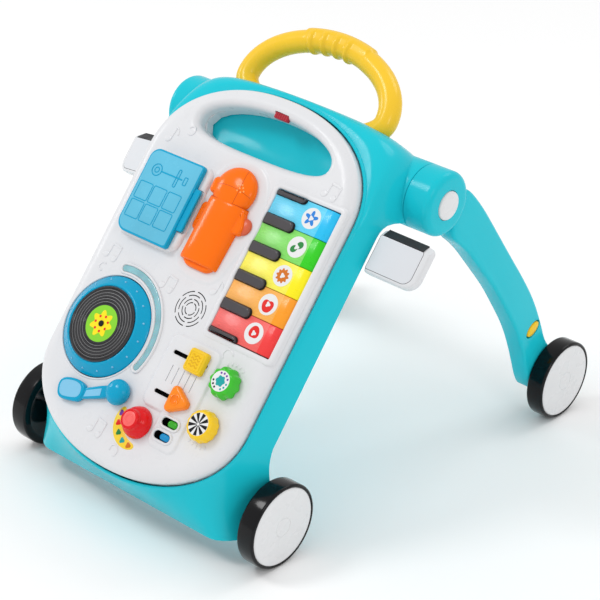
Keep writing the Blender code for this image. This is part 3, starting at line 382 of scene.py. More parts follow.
def resample(points, steps):
    """Evenly spaced points along a line."""
    lengths = [0.0]
    for one, two in zip(points, points[1:]):
        lengths.append(lengths[-1] + math.dist(one, two))
    result, index = [], 0
    for step in range(steps + 1):
        wanted = lengths[-1] * step / steps
        while index < len(points) - 2 and lengths[index + 1] < wanted:
            index += 1
        span = lengths[index + 1] - lengths[index]
        share = (wanted - lengths[index]) / span if span else 0.0
        one, two = points[index], points[index + 1]
        result.append(tuple(a + (b - a) * share for a, b in zip(one, two)))
    return result


def oval_quarter(half_width, rise, power, fine=160):
    return [(half_width * max(math.cos(a), 0) ** (2 / power), rise * math.sin(a) ** (2 / power))
            for a in quarter(fine)]


def corner_quarter(half_width, rise, radius, fine=24):
    curve = [(half_width - radius + radius * math.cos(a), rise - radius + radius * math.sin(a))
             for a in quarter(fine)]
    return [(half_width, 0.0), *curve, (0.0, rise)]


def ring_from_quarters(top, top_v, bottom, bottom_v, steps):
    upper = [(u, top_v + v) for u, v in resample(top, steps)]
    lower = [(u, bottom_v - v) for u, v in resample(bottom, steps)]
    right = list(reversed(lower)) + upper
    left = [(-u, v) for u, v in reversed(right[1:-1])]
    return right + left


def board_outline(grow=0.0, steps=44):
    top = oval_quarter(HALF_W + grow, TOP_RISE + grow, TOP_POWER)
    bottom = oval_quarter(HALF_W + grow, BOTTOM_DROP + grow, BOTTOM_POWER)
    return ring_from_quarters(top, TOP_V, bottom, BOTTOM_V, steps)


def rim_outline(steps=44):
    top = oval_quarter(RIM_HALF_W, RIM_TOP_V - TOP_V, RIM_TOP_POWER)
    bottom = corner_quarter(RIM_HALF_W, BOTTOM_V - RIM_BOTTOM_V, RIM_CORNER)
    return ring_from_quarters(top, TOP_V, bottom, BOTTOM_V, steps)


def carry_outline(grow=0.0):
    top = oval_quarter(CARRY_HALF_W + grow, CARRY_RISE + grow, 2.0)
    bottom = oval_quarter(CARRY_HALF_W + grow, CARRY_DROP + grow, 3.0)
    return ring_from_quarters(top, CARRY_V, bottom, CARRY_V, 24)


def smooth_loop(points, passes=2):
    """Corner cutting: each pass rounds every corner of a closed outline."""
    for _ in range(passes):
        result = []
        for one, two in zip(points, points[1:] + points[:1]):
            result.append(tuple(0.75 * a + 0.25 * b for a, b in zip(one, two)))
            result.append(tuple(0.25 * a + 0.75 * b for a, b in zip(one, two)))
        points = result
    return points


def offset_loop(points, distance):
    """A counter-clockwise outline moved outwards by a distance."""
    result = []
    for before, here, after in zip(points[-1:] + points[:-1], points, points[1:] + points[:1]):
        along = (Vector(after) - Vector(before)).normalized()
        result.append((here[0] + along.y * distance, here[1] - along.x * distance))
    return result


def counter_clockwise(points):
    area = sum(a[0] * b[1] - b[0] * a[1] for a, b in zip(points, points[1:] + points[:1]))
    return points if area > 0 else points[::-1]


def growing(points):
    """A fixed outline as a function of how far it grows."""
    return lambda grow=0.0: offset_loop(points, grow) if grow else points


def round_spot(centre, radius, degrees):
    """The point at a radius and an angle round a centre."""
    angle = math.radians(degrees)
    return centre[0] + radius * math.cos(angle), centre[1] + radius * math.sin(angle)


# ---------------------------------------------------------------- mesh tools

def metres(point):
    return Vector(point) * MM


def made(name, work, matrix):
    bmesh.ops.recalc_face_normals(work, faces=work.faces)
    mesh = bpy.data.meshes.new(name)
    work.to_mesh(mesh)
    work.free()
    obj = bpy.data.objects.new(name, mesh)
    bpy.context.scene.collection.objects.link(obj)
    obj.matrix_world = matrix
    return obj


def loft(name, rings, matrix=BOARD, low_cap=True, high_cap=True, looped=False):
    """Closed rings joined in turn; looped joins the last to the first in place of caps."""
    work = bmesh.new()
    rows = [[work.verts.new(metres(point)) for point in ring] for ring in rings]
    pairs = list(zip(rows, rows[1:] + (rows[:1] if looped else [])))
    for row, following in pairs:
        for i, vert in enumerate(row):
            j = (i + 1) % len(row)
            work.faces.new((vert, row[j], following[j], following[i]))
    if low_cap and not looped:
        work.faces.new(list(reversed(rows[0])))
    if high_cap and not looped:
        work.faces.new(rows[-1])
    return made(name, work, matrix)


def at_height(outline, height):
    return [(x, y, height) for x, y in outline]


def stack(name, outline, stations, matrix=BOARD, looped=False):
    """An outline lofted through (growth, height) stations."""
    rings = [at_height(outline(grow), height) for grow, height in stations]
    return loft(name, rings, matrix, looped=looped)


def slab(name, outline, low, high, radius=0.6, matrix=BOARD, steps=4, under=0.0):
    """A plate with a rounded top edge and, where asked, a rounded under edge."""
    stations = []
    if under:
        for a in quarter(steps)[:-1]:
            stations.append((-under * (1 - math.sin(a)), low + under * (1 - math.cos(a))))
    stations.append((0.0, low + under))
    for a in quarter(steps):
        stations.append((-radius * (1 - math.cos(a)), high - radius * (1 - math.sin(a))))
    stations.append((-radius - 0.15, high))
    return stack(name, outline, stations, matrix)


def rim(name, outline, inner, outer, low, high, matrix=BOARD):
    """A raised bead that follows an outline, between two growths."""
    middle, half = (inner + outer) / 2, (outer - inner) / 2
    stations = [(outer, low)]
    for i in range(7):
        angle = math.pi * i / 6
        stations.append((middle + half * math.cos(angle), high - half + half * math.sin(angle)))
    stations.append((inner, low))
    return stack(name, outline, stations, matrix, looped=True)


def turned(name, profile, matrix=BOARD, at=(0.0, 0.0), steps=64, looped=False):
    """A solid of revolution from (radius, height) pairs."""
    work = bmesh.new()
    rows = []
    for radius, height in profile:
        if radius < 1e-6:
            rows.append([work.verts.new(metres((at[0], at[1], height)))])
        else:
            ring = arc(at, radius, 0, 360, steps)[:-1]
            rows.append([work.verts.new(metres((x, y, height))) for x, y in ring])
    for row, following in zip(rows, rows[1:] + (rows[:1] if looped else [])):
        for i in range(steps):
            j = (i + 1) % steps
            corners = [row[i % len(row)], row[j % len(row)], following[j % len(following)],
                       following[i % len(following)]]
            work.faces.new(list(dict.fromkeys(corners)))
    return made(name, work, matrix)


def freeze(obj):
    """Apply an object's modifiers."""
    graph = bpy.context.evaluated_depsgraph_get()
    mesh = bpy.data.meshes.new_from_object(obj.evaluated_get(graph))
    obj.modifiers.clear()
    obj.data = mesh
    return obj


def combine(target, operation, *others):
    """One exact boolean after another; the other objects are used up."""
    bpy.context.view_layer.update()
    for other in others:
        modifier = target.modifiers.new(other.name, "BOOLEAN")
        modifier.operation = operation
        modifier.solver = "EXACT"
        modifier.object = other
    freeze(target)
    for other in others:
        bpy.data.objects.remove(other, do_unlink=True)
    return target


def together(name, *objects):
    """Merge loose objects into one mesh; shells stay separate."""
    work = bmesh.new()
    base = objects[0].matrix_world.copy()
    for obj in objects:
        mesh = obj.data.copy()
        mesh.transform(base.inverted() @ obj.matrix_world)
        work.from_mesh(mesh)
        bpy.data.meshes.remove(mesh)
        bpy.data.objects.remove(obj, do_unlink=True)
    mesh = bpy.data.meshes.new(name)
    work.to_mesh(mesh)
    work.free()
    result = bpy.data.objects.new(name, mesh)
    bpy.context.scene.collection.objects.link(result)
    result.matrix_world = base
    return result


def dress(obj, look, body, slot, *replaced, angle=38):
    """Shade, colour and hang a piece on its body."""
    obj.data.materials.clear()
    obj.data.materials.append(LOOKS[look] if isinstance(look, str) else look)
    obj.data.polygons.foreach_set("material_index", [0] * len(obj.data.polygons))
    obj.data.shade_smooth()
    obj.data.set_sharp_from_angle(angle=math.radians(angle))
    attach(obj, body)
    if replaced:
        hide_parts(*replaced)
    return obj


def mirror(obj, name):
    """A copy of a piece on the other side."""
    copy = bpy.data.objects.new(name, obj.data.copy())
    bpy.context.scene.collection.objects.link(copy)
    copy.matrix_world = obj.matrix_world
    copy.data.transform(obj.matrix_world.inverted() @ Matrix.Diagonal((-1, 1, 1, 1)) @ obj.matrix_world)
    copy.data.flip_normals()
    return copy


def pair(obj, look, bodies, slot, replaced=(), angle=38):
    """Dress a right-hand piece and its mirrored left-hand twin."""
    base = obj.name.replace("_right", "")
    twin = mirror(obj, base + "_left")
    dress(obj, look, bodies + "_right", slot, *[n + "_right" for n in replaced], angle=angle)
    dress(twin, look, bodies + "_left", slot, *[n + "_left" for n in replaced], angle=angle)


# ---------------------------------------------------------------- frame, handle, legs, wheels

def rim_height(v):
    """The depth of the frame's back edge along the slope, eased over a few millimetres."""
    total = 0.0
    for place in (v - 5, v - 2, v, v + 2, v + 5):
        height = RIM_STATIONS[-1][1]
        for (low_v, low_h), (high_v, high_h) in zip(RIM_STATIONS, RIM_STATIONS[1:]):
            if place <= high_v:
                share = min(max((place - low_v) / (high_v - low_v), 0), 1)
                height = low_h + (high_h - low_h) * share
                break
        total += height
    return total / 5


def dish_depth(u, v):
    """How far the floor sinks behind the carry slot, for room for the fingers."""
    return 11.0 * math.exp(-((u / 80) ** 2 + ((v - 254) / 30) ** 2) ** 2)


def wall_share(turn, v):
    """How far out and how far back the wall is: straight low down, square-shouldered at the top."""
    power = 1.0 + 1.8 * min(max((v - 185.0) / 60.0, 0.0), 1.0)
    return math.sin(turn) ** (2 / power), 1 - max(math.cos(turn), 0.0) ** (2 / power)


def frame_front():
    """The moulded front: floor under the board, raised lip, and walls down to the back edge."""
    rings = []
    for share in (0.06, 0.2, 0.34, 0.46, 0.56, 0.64, 0.7, 0.76, 0.81, 0.86, 0.9, 0.94, 0.97):
        ring = [(u * share, 80 + (v - 80) * share) for u, v in board_outline(1.5)]
        rings.append([(u, v, FLOOR_H - dish_depth(u, v)) for u, v in ring])
    for grow, height in ((-3.2, FLOOR_H), (-0.6, FLOOR_H + 0.6), (0.9, FLOOR_H + 2), (1.5, FLOOR_H + 4),
                         (1.5, LIP_H - 1.2), (1.7, LIP_H - 0.5), (2.2, LIP_H - 0.1), (2.9, LIP_H),
                         (3.7, LIP_H - 0.4), (4.3, LIP_H - 1.1), (4.7, LIP_H - 1.8)):
        rings.append(at_height(board_outline(grow), height))
    lip, edge = board_outline(5.0), rim_outline()
    for turn in quarter(20):
        ring = []
        for (lip_u, lip_v), (edge_u, edge_v) in zip(lip, edge):
            out, down = wall_share(turn, lip_v)
            u = lip_u + (edge_u - lip_u) * out
            v = lip_v + (edge_v - lip_v) * out
            ring.append((u, v, (LIP_H - 2.5) * (1 - down) + rim_height(edge_v) * down))
        rings.append(ring)
    shell = loft("frame_front", list(reversed(rings)), low_cap=False)
    solid = shell.modifiers.new("wall", "SOLIDIFY")
    solid.thickness = FRAME_WALL * MM
    solid.offset = -1.0
    freeze(shell)
    bosses = turned("boss", [(0, BOSS_INNER_X), (BOSS_R, BOSS_INNER_X), (BOSS_R, BOSS_X - 0.8),
                             (BOSS_R - 0.25, BOSS_X - 0.25), (BOSS_R - 0.8, BOSS_X), (0, BOSS_X)],
                    LEG, steps=96)
    combine(shell, "UNION", bosses, mirror(bosses, "boss_left"))
    core = turned("core", [(0, 89), (BOSS_R - 3, 89), (BOSS_R - 3, BOSS_X - 2.6), (0, BOSS_X - 2.6)], LEG)
    bore = turned("bore", [(0, 150), (12.4, 150), (12.4, 165), (0, 165)], LEG, steps=32)
    axle = Matrix.Translation((0, FRONT_AXLE_Y * MM, WHEEL_R * MM)) @ SIDEWAYS
    way = turned("way", [(0, -200), (3.9, -200), (3.9, 200), (0, 200)], axle, steps=24)
    combine(shell, "DIFFERENCE", core, mirror(core, "core_left"), bore, mirror(bore, "bore_left"), way)
    dress(shell, "teal", "frame", "teal_plastic", "front_shell", angle=32)


def rear_lip():
    """Closes the back between the rear cover's upper edge and the rounded top wall."""
    outline = rim_outline()
    low_v, top_v = 303.5, max(v for _, v in outline) - 1.2
    rings = []
    for i in range(15):
        v = low_v + (top_v - low_v) * i / 14
        half = min(max(abs(u) for u, edge_v in outline if edge_v > v) - 1.0, BOSS_INNER_X - 5)
        h = rim_height(v) + 2.4
        rings.append([(-half, v, h), (half, v, h), (half, v - 0.9, h + 1.3), (-half, v - 0.9, h + 1.3)])
    dress(loft("rear_lip", rings), "teal", "frame", "teal_plastic", angle=40)


def handle():
    """A bar bent to an arch; its grip is thicker, with flat ribs on the near underside."""
    steps, around = 420, 32
    low, high = math.radians(-62), math.radians(242)
    path = []
    for i in range(steps + 1):
        angle = low + (high - low) * i / steps
        rise = HANDLE_RISE if math.sin(angle) > 0 else HANDLE_DROP
        path.append(Vector((HANDLE_HALF_W * math.cos(angle), HANDLE_V + rise * math.sin(angle))))
    rings = []
    for i, here in enumerate(path):
        along = (path[min(i + 1, steps)] - path[max(i - 1, 0)]).normalized()
        out = Vector((along.y, -along.x))
        grip = rib = 0.0
        if here.y > HANDLE_V + 30:
            grip = 1 / (1 + math.exp((abs(here.x) - GRIP_HALF_W) / 0.4))
            rib = sum(1 / (1 + math.exp((abs(here.x - at) - 2.6) / 0.45)) for at in GRIP_RIBS)
        ring = []
        for k in range(around):
            turn = 2 * math.pi * k / around
            facing = 1 / (1 + math.exp((0.25 - math.cos(turn - math.radians(140))) / 0.07))
            radius = HANDLE_R + 0.3 + grip * (2.0 - 2.3 * facing * (1 - rib))
            spot = here + out * radius * math.cos(turn)
            ring.append((spot.x, spot.y, HANDLE_H + radius * math.sin(turn)))
        rings.append(ring)
    dress(loft("handle_bar", rings), "handle", "frame", "yellow_handle", "handle", angle=60)


def selector_outline(grow=0.0):
    """The slanting oval of the roll selector."""
    spin = Matrix.Rotation(SELECTOR_TURN, 2)
    points = []
    for i in range(40):
        angle = 2 * math.pi * i / 40
        spot = spin @ Vector(((12.6 + grow) * math.cos(angle), (8.0 + grow) * math.sin(angle)))
        points.append(tuple(spot + Vector(SELECTOR_AT)))
    return points


def legs():
    """Each leg: a curved blade that flows into its hinge hub, hollow on the inner side."""
    corners = [*reversed(LEG_FRONT), (20, -5), *LEG_REAR]
    grown = growing(counter_clockwise(smooth_loop(corners, 3)))
    stations = [(-1.6, LEG_INNER_X), (-0.4, LEG_INNER_X + 0.5), (0, LEG_INNER_X + 1.8),
                (0, LEG_OUTER_X - 3.4), (-0.5, LEG_OUTER_X - 1.6), (-1.7, LEG_OUTER_X - 0.4),
                (-3.4, LEG_OUTER_X)]
    blade = stack("leg_right", grown, stations, LEG)
    hub_low = BOSS_X + 0.4
    edge = [(BOSS_R - 8 * (1 - math.cos(a)), HUB_FACE_X - 8 * (1 - math.sin(a))) for a in quarter(8)]
    hub = turned("hub", [(0, hub_low), (BOSS_R - 0.8, hub_low), (BOSS_R, hub_low + 0.8), *edge,
                         (0, HUB_FACE_X)], LEG, steps=96)
    combine(blade, "UNION", hub)
    seat = CAP_R + 0.7
    cap_seat = turned("seat", [(0, 181.6), (seat, 181.6), (seat, 196), (0, 196)], LEG)
    bore = turned("bore", [(0, 150), (12.4, 150), (12.4, 190), (0, 190)], LEG, steps=32)
    recess = stack("recess", selector_outline, [(0.8, LEG_OUTER_X - 5), (0.8, LEG_OUTER_X + 5)], LEG)
    pocket = stack("pocket", grown, [(-4.2, LEG_INNER_X - 6), (-4.2, LEG_INNER_X + 2.9)], LEG)
    ring = turned("keep", [(0, 140), (BOSS_R + 1.5, 140), (BOSS_R + 1.5, 190), (0, 190)], LEG)
    combine(pocket, "DIFFERENCE", ring)
    at = (REAR_AXLE_Y - HINGE_Y, WHEEL_R - HINGE_Z)
    stub = turned("stub", [(0, 160), (3.7, 160), (3.7, 200), (0, 200)], LEG, at, 24)
    combine(blade, "DIFFERENCE", cap_seat, bore, recess, pocket, stub)
    pair(blade, "teal", "leg", "teal_plastic", ("leg",), angle=40)
    # Black beds in the selector's recess and at the bottom of the lock cap's seat: painted shade in the
    # hollows.
    bed = stack("selector_bed_right", selector_outline,
                [(0.5, LEG_OUTER_X - 5.2), (0.5, LEG_OUTER_X - 4.7)], LEG)
    pair(bed, "dark", "leg", "black_tyre")
    bed = turned("button_bed_right", [(12.6, 181.2), (seat - 0.1, 181.2), (seat - 0.1, 182.0),
                                      (12.6, 182.0)], LEG, looped=True)
    pair(bed, "dark", "leg", "black_tyre")
    low, high = LEG_OUTER_X - 4.6, LEG_OUTER_X + 0.6
    button = stack("selector_right", selector_outline,
                   [(-1.7, low), (-1.3, low + 0.4), (-1.3, high - 1.0), (-1.7, high - 0.35),
                    (-2.6, high), (-4.4, high + 0.35), (-5.6, high + 0.45)], LEG)
    pair(button, "yellow", "roll_selector", "yellow_controls", ("roll_selector",))
    face = CAP_FACE_X
    cap = turned("lock_cap_right", [(0, 160), (4.2, 160), (4.2, 185.4), (CAP_R - 0.5, 185.4),
                                    (CAP_R, 185.9), (CAP_R, face - 1.8), (CAP_R - 0.4, face - 0.9),
                                    (CAP_R - 1.6, face - 0.2), (CAP_R - 5, face), (0, face + 0.3)], LEG)
    pair(cap, "bright_white", "lock_button", "white_plastic", ("lock_button",))


def wheels():
    """Each wheel: a black tyre closed on its inner side, and a pale disc with a small centre cap."""
    for place, axle_y, inner_x in (("front", FRONT_AXLE_Y, FRONT_WHEEL_X),
                                   ("rear", REAR_AXLE_Y, REAR_WHEEL_X)):
        outer_x = inner_x + TYRE_WIDTH
        axle = Matrix.Translation((0, axle_y * MM, WHEEL_R * MM)) @ SIDEWAYS
        shoulder = 2.6
        corner = [(WHEEL_R - shoulder * (1 - math.cos(a)), outer_x - shoulder * (1 - math.sin(a)))
                  for a in quarter(6)]
        back = [(r, inner_x + outer_x - x) for r, x in reversed(corner)]
        lip = HUB_R + 0.35
        tyre = turned("%s_tyre_right" % place,
                      [(5, inner_x + 3), (12, inner_x + 3), (13, inner_x + 1.2), (37, inner_x + 1.2),
                       (38.5, inner_x + 0.2), (40, inner_x), *back, *corner, (lip + 0.5, outer_x),
                       (lip, outer_x - 0.5), (lip, outer_x - 3), (40, outer_x - 3), (40, inner_x + 5),
                       (5, inner_x + 5)], axle, steps=112, looped=True)
        pair(tyre, "black", "wheel_" + place, "black_tyre", ("tyre_" + place,))
        bore = 3.6
        hub = turned("%s_hub_right" % place,
                     [(0, outer_x + 0.25), (10.2, outer_x + 0.2), (10.6, outer_x - 0.25),
                      (11.1, outer_x - 0.25), (11.5, outer_x + 0.2), (30, outer_x + 0.1),
                      (HUB_R - 2.2, outer_x - 0.05), (HUB_R - 0.7, outer_x - 0.35),
                      (HUB_R, outer_x - 1.1), (HUB_R, outer_x - 2.7), (39.7, outer_x - 2.7),
                      (39.7, inner_x + 6), (37.2, inner_x + 6), (37.2, outer_x - 5),
                      (9, outer_x - 5), (9, inner_x + 6), (bore, inner_x + 6),
                      (bore, outer_x - 3.4), (0, outer_x - 3.4)], axle, steps=96)
        pair(hub, "bright_white", "wheel_" + place, "white_plastic", ("hub_" + place,))


def flaps():
    """Fold-out flaps: white shell, glossy plate with a seam of painted shade round it, rubber strip on top.
    """
    half, low, high = FLAP_THICK / 2, FLAP_LOW_V, FLAP_HIGH_V
    for side, sign, splay in FLAP_SPLAYS:
        matrix = (BOARD @ Matrix.Translation((sign * FLAP_HINGE_U * MM, 0, FLAP_HINGE_H * MM))
                  @ Matrix.Rotation(sign * splay, 4, "Y"))

        def facing(shape, sign=sign):
            def outline(grow=0.0):
                points = shape(grow)
                return points if sign > 0 else [(-x, y) for x, y in reversed(points)]
            return outline

        body = "flap_" + side
        shell = slab("flap_shell_" + side, facing(rounded(0.6, FLAP_LENGTH, low, high, (6, 3, 3, 15), 8)),
                     -half, half, 2.6, matrix, 6, under=3.0)
        slope = [(-half - 4, high + 4), (half + 1, high + 4), (half + 1, high - 8), (half - 0.6, high - 8),
                 (-half + 6, high + 0.4), (-half - 4, high + 0.4)]
        rings = [[(sign * x, v, h) for h, v in slope] for x in (-4, FLAP_LENGTH + 4)]
        combine(shell, "DIFFERENCE", loft("wedge", rings, matrix))
        dress(shell, "white", body, "white_plastic", "side_flap_" + side)
        face = rounded(1.2, FLAP_LENGTH - 6.5, low + 3.6, high - 7.6, (2.5, 1.2, 1.2, 10), 6)
        gap = facing(lambda g=0.0, f=face: f(g + 0.15))
        # A dark grey ring under the plate's edge: painted shade in the seam round the plate.
        seam = slab("flap_seam_" + side, gap, half - 0.6, half + 0.05, 0.02, matrix, 1)
        dress(seam, "key_black", body, "rubber_strip")
        inset = facing(lambda g=0.0, f=face: f(g - 0.35))
        plate = slab("flap_plate_" + side, inset, half - 0.5, half + 0.35, 0.3, matrix, 3)
        dress(plate, "silver", body, "lilac_plate", "flap_face_" + side)
        lift = [(half - 0.2, high - 8.2), (half + 0.5, high - 7.0), (-half + 7, high + 1.3),
                (-half + 5.4, high + 0.9), (-half + 5.4, high - 1.0), (half - 1.8, high - 9.4)]
        rings = [[(sign * x, v, h) for h, v in lift] for x in (4.0, FLAP_LENGTH - 8.5)]
        dress(loft("flap_strip_" + side, rings, matrix), "rubber", body, "rubber_strip", "flap_pad_" + side)


# ---------------------------------------------------------------- the music board

def slot_shapes():
    middle, length = (SLOT_LEFT_U + SLOT_RIGHT_U) / 2, SLOT_RIGHT_U - SLOT_LEFT_U
    return [capsule((middle, at[1]), length, 4.4) for at in (SQUARE_SLIDER_AT, TRIANGLE_SLIDER_AT)]


def switch_shapes():
    return [capsule((u, v), 22, 8.8) for _, u, v in SWITCHES]


def grille_shapes():
    """Broken rings of narrow slots in front of the speaker."""
    shapes = []
    for ring, (radius, pieces) in enumerate(((6.8, 4), (10.6, 5), (15.0, 5), (19.2, 6))):
        step = 360 / pieces
        for piece in range(pieces):
            start = piece * step + ring * 33 + 7
            shapes.append(bow(SPEAKER_AT, radius, 1.15, start, start + step * 0.76, 14, 4))
    return shapes


def cutters(shapes, low, high, chamfer=0.0, top=0.0):
    """Prisms for cutting openings; a chamfer widens them at the top."""
    stations = [(0, low), (0, high)]
    if chamfer:
        stations = [(0, low), (0, top - chamfer), (chamfer, top + 0.02), (chamfer, high)]
    return together("cutters", *[stack("cutter", shape, stations) for shape in shapes])


def painted_shade_wells(name, shapes, low, high):
    """Black linings that close the bottoms of slots: painted shade for the darkness down in the openings."""
    rings = [(0.4, low), (0.4, high - 0.5), (-0.15, high - 0.5), (-0.15, low + 0.4)]
    well = together(name, *[stack("well", shape, rings) for shape in shapes])
    dress(well, "dark", "music_board", "dark_gloss")


def hinge_pocket():
    """Room under the microphone door for the edge that swings down as it opens."""
    return slab("pocket", rounded(-25.6, -18.5, 104.0, 195.0, 1.0, 3), -5.0, 3.0, 0.1, steps=1)


def board_face():
    """The white face: softly rounded all round, with its openings cut through."""
    stations = [(-0.8, SPLIT_H), (-0.2, SPLIT_H + 0.2), (0, SPLIT_H + 0.9)]
    for a in quarter(12):
        stations.append((-EDGE_WIDE * (1 - math.cos(a)), -EDGE_DEEP * (1 - math.sin(a))))
    stations.append((-EDGE_WIDE - 0.5, 0))
    top = stack("board_face", board_outline, stations)
    round_in = [(9 - 9 * math.cos(a), -9 + 9 * math.sin(a)) for a in quarter(9)]
    carry = stack("carry", carry_outline, [(0, -45), *round_in, (9, 4)])
    window = (KEY_LEFT_U - 0.8, KEY_RIGHT_U + 0.9, KEYS_LOW_V - 0.8, KEYS_HIGH_V + 0.8)
    keys = rounded(*window, 1.2, 4)
    ways = [cutters([keys, disc(PLATTER_AT, PLATTER_R + 0.8, 96)], -9, 6, 0.6),
            cutters(slot_shapes() + switch_shapes() + grille_shapes(), -6.4, 6)]
    top_v = CARRY_V + CARRY_RISE
    latch = slab("latch_way", rounded(-3, 17, top_v - 6, top_v + 8, 0.6, 3), -8.4, -1.6, 0.3)
    combine(top, "DIFFERENCE", carry, *ways, latch, hinge_pocket())
    dress(top, "white", "music_board", "white_plastic", "board_top", angle=34)
    painted_shade_wells("slot_shade_wells", slot_shapes(), -6.3, 2.0)
    painted_shade_wells("switch_shade_wells", switch_shapes(), -6.3, 2.2)
    painted_shade_wells("grille_shade_wells", grille_shapes(), -6.3, 0.2)
    # Black beds under the key window and the platter: painted shade in the gaps round the keys and the
    # platter.
    under_keys = rounded(KEY_LEFT_U - 6, KEY_RIGHT_U + 5, KEYS_LOW_V - 4, KEYS_HIGH_V + 4, 2)
    beds = [slab("bed", shape, -10.4, -8.6) for shape in (under_keys, disc(PLATTER_AT, PLATTER_R + 3))]
    dress(together("shade_under_keys_and_platter", *beds), "dark", "music_board", "dark_gloss")
    frame_ring = [(7.6, -4), (7.0, -0.5), (6.0, 0.35), (4.8, 0.75), (3.4, 0.95), (1.6, 1.0),
                  (0.7, 0.75), (0.2, 0.1), (0.05, -0.8), (0.05, -4)]
    surround = stack("piano_surround", rounded(*window, 1.6, 6), frame_ring, looped=True)
    dress(surround, "white", "music_board", "white_plastic", angle=60)


def soft_plate(name, outline, height, slope=3.6):
    """A raised area whose edge slopes down gently all round."""
    stations = [(slope * out, height * up) for out, up in
                ((0.82, 0.10), (0.62, 0.36), (0.4, 0.66), (0.2, 0.88), (0, 0.98))]
    return stack(name, outline, [(slope + 0.3, -1.2), (slope, -0.05), *stations, (-0.6, height)])


def mixer():
    """The raised plates under the sliders and switches, with engraved lines."""
    plate = soft_plate("mixer_plate", rounded(15, 81, -52, 26, 8, 8), 2.2)
    lines = [capsule((u, -14.0), 19, 1.1, 90, 3) for u in (31, 39.5, 48, 56.5, 65)]
    grooves = together("grooves", *[stack("g", line, [(0, 1.1), (0, 3.5)]) for line in lines])
    combine(plate, "DIFFERENCE", cutters(slot_shapes(), -3, 5, 0.5, 2.2), grooves)
    dress(plate, "white", "music_board", "white_plastic", angle=34)
    foot = soft_plate("switch_plate", rounded(45, 79, -88, -46, 7, 8), 1.9, 3.2)
    combine(foot, "DIFFERENCE", cutters(switch_shapes(), -3, 4))
    dress(foot, "white", "music_board", "white_plastic", angle=34)
    rims = [rim("r", shape, 0.0, 2.9, 1.0, 3.6) for shape in switch_shapes()]
    rims += [rim("r", shape, 0.05, 1.3, 1.8, 2.7) for shape in slot_shapes()]
    dress(together("slot_rims", *rims), "white", "music_board", "white_plastic", angle=60)


def slider_stem(u, v):
    """The stem that joins a slider's cap to its slot."""
    return slab("s", rounded(u - 3, u + 3, v - 1.9, v + 1.9, 0.4, 2), -5.6, 2.0, 0.1, steps=1)


def sliders():
    """A square cap with waves in relief, a three-sided cap with a bowl, and two small switches."""
    u, v = SQUARE_SLIDER_AT
    cap = slab("slider_square", rounded(u - 12.4, u + 12.4, v - 12.9, v + 12.9, 4.2, 6), 2.4, 9.4, 3.0,
               steps=6, under=0.5)
    border = rim("b", rounded(u - 8.6, u + 8.6, v - 9.0, v + 9.0, 1.6, 4), -0.1, 1.1, 9.1, 10.1)
    waves = []
    for row in range(4):
        line = []
        for k in range(17):
            x = u - 6.0 + 12.0 * k / 16
            line.append((x, v - 5.6 + row * 3.7 + 1.1 * math.sin(k * math.pi / 4)))
        wave = [(x, y - 0.5) for x, y in line] + [(x, y + 0.5) for x, y in reversed(line)]
        waves.append(stack("w", growing(wave), [(0, 9.2), (0, 9.85)]))
    dress(together("slider_square_cap", cap, slider_stem(u, v), border), "yellow", "square_slider",
          "yellow_controls", "square_slider")
    dress(together("slider_square_waves", *waves), "relief_yellow", "square_slider", "yellow_controls")
    u, v = TRIANGLE_SLIDER_AT

    def three_sided(grow=0.0):
        points = []
        for turn in (0, 120, 240):
            corner = round_spot(TRIANGLE_SLIDER_AT, 10.5, turn)
            points += arc(corner, max(5.5 + grow, 0.4), turn - 60, turn + 60, 8)
        return points
    cap = slab("t", three_sided, 2.4, 9.8, 3.6, steps=7, under=0.5)
    bowl = turned("bowl", [(0, 7.4), (1.8, 7.6), (3.6, 8.4), (4.9, 9.6), (5.2, 12), (0, 12)], at=(u, v))
    combine(cap, "DIFFERENCE", bowl)
    ring = turned("r", [(4.7, 8.8), (5.0, 10.2), (5.5, 10.45), (6.1, 10.3), (6.6, 9.4)],
                  at=(u, v), looped=True)
    dress(together("slider_triangle_cap", cap, ring, slider_stem(u, v)), "tangerine", "triangle_slider",
          "orange_plastic", "triangle_slider")
    for name, u, v in SWITCHES:
        shape = capsule((u + 3.6, v), 14.4, 8.0)
        nub = slab(name + "_nub", shape, -5.0, 3.4, 3.6, steps=7)
        dress(nub, "switch_green" if "green" in name else "switch_blue", name,
              "green_plastic" if "green" in name else "blue_plastic", name)


def knob_label(knob, at, radius):
    """The round white sticker on top of a knob."""
    paper = slab(knob + "_label", disc(at, radius), KNOB_H - 0.1, KNOB_H + 0.25, 0.15)
    dress(paper, "paper", knob, "white_plastic")


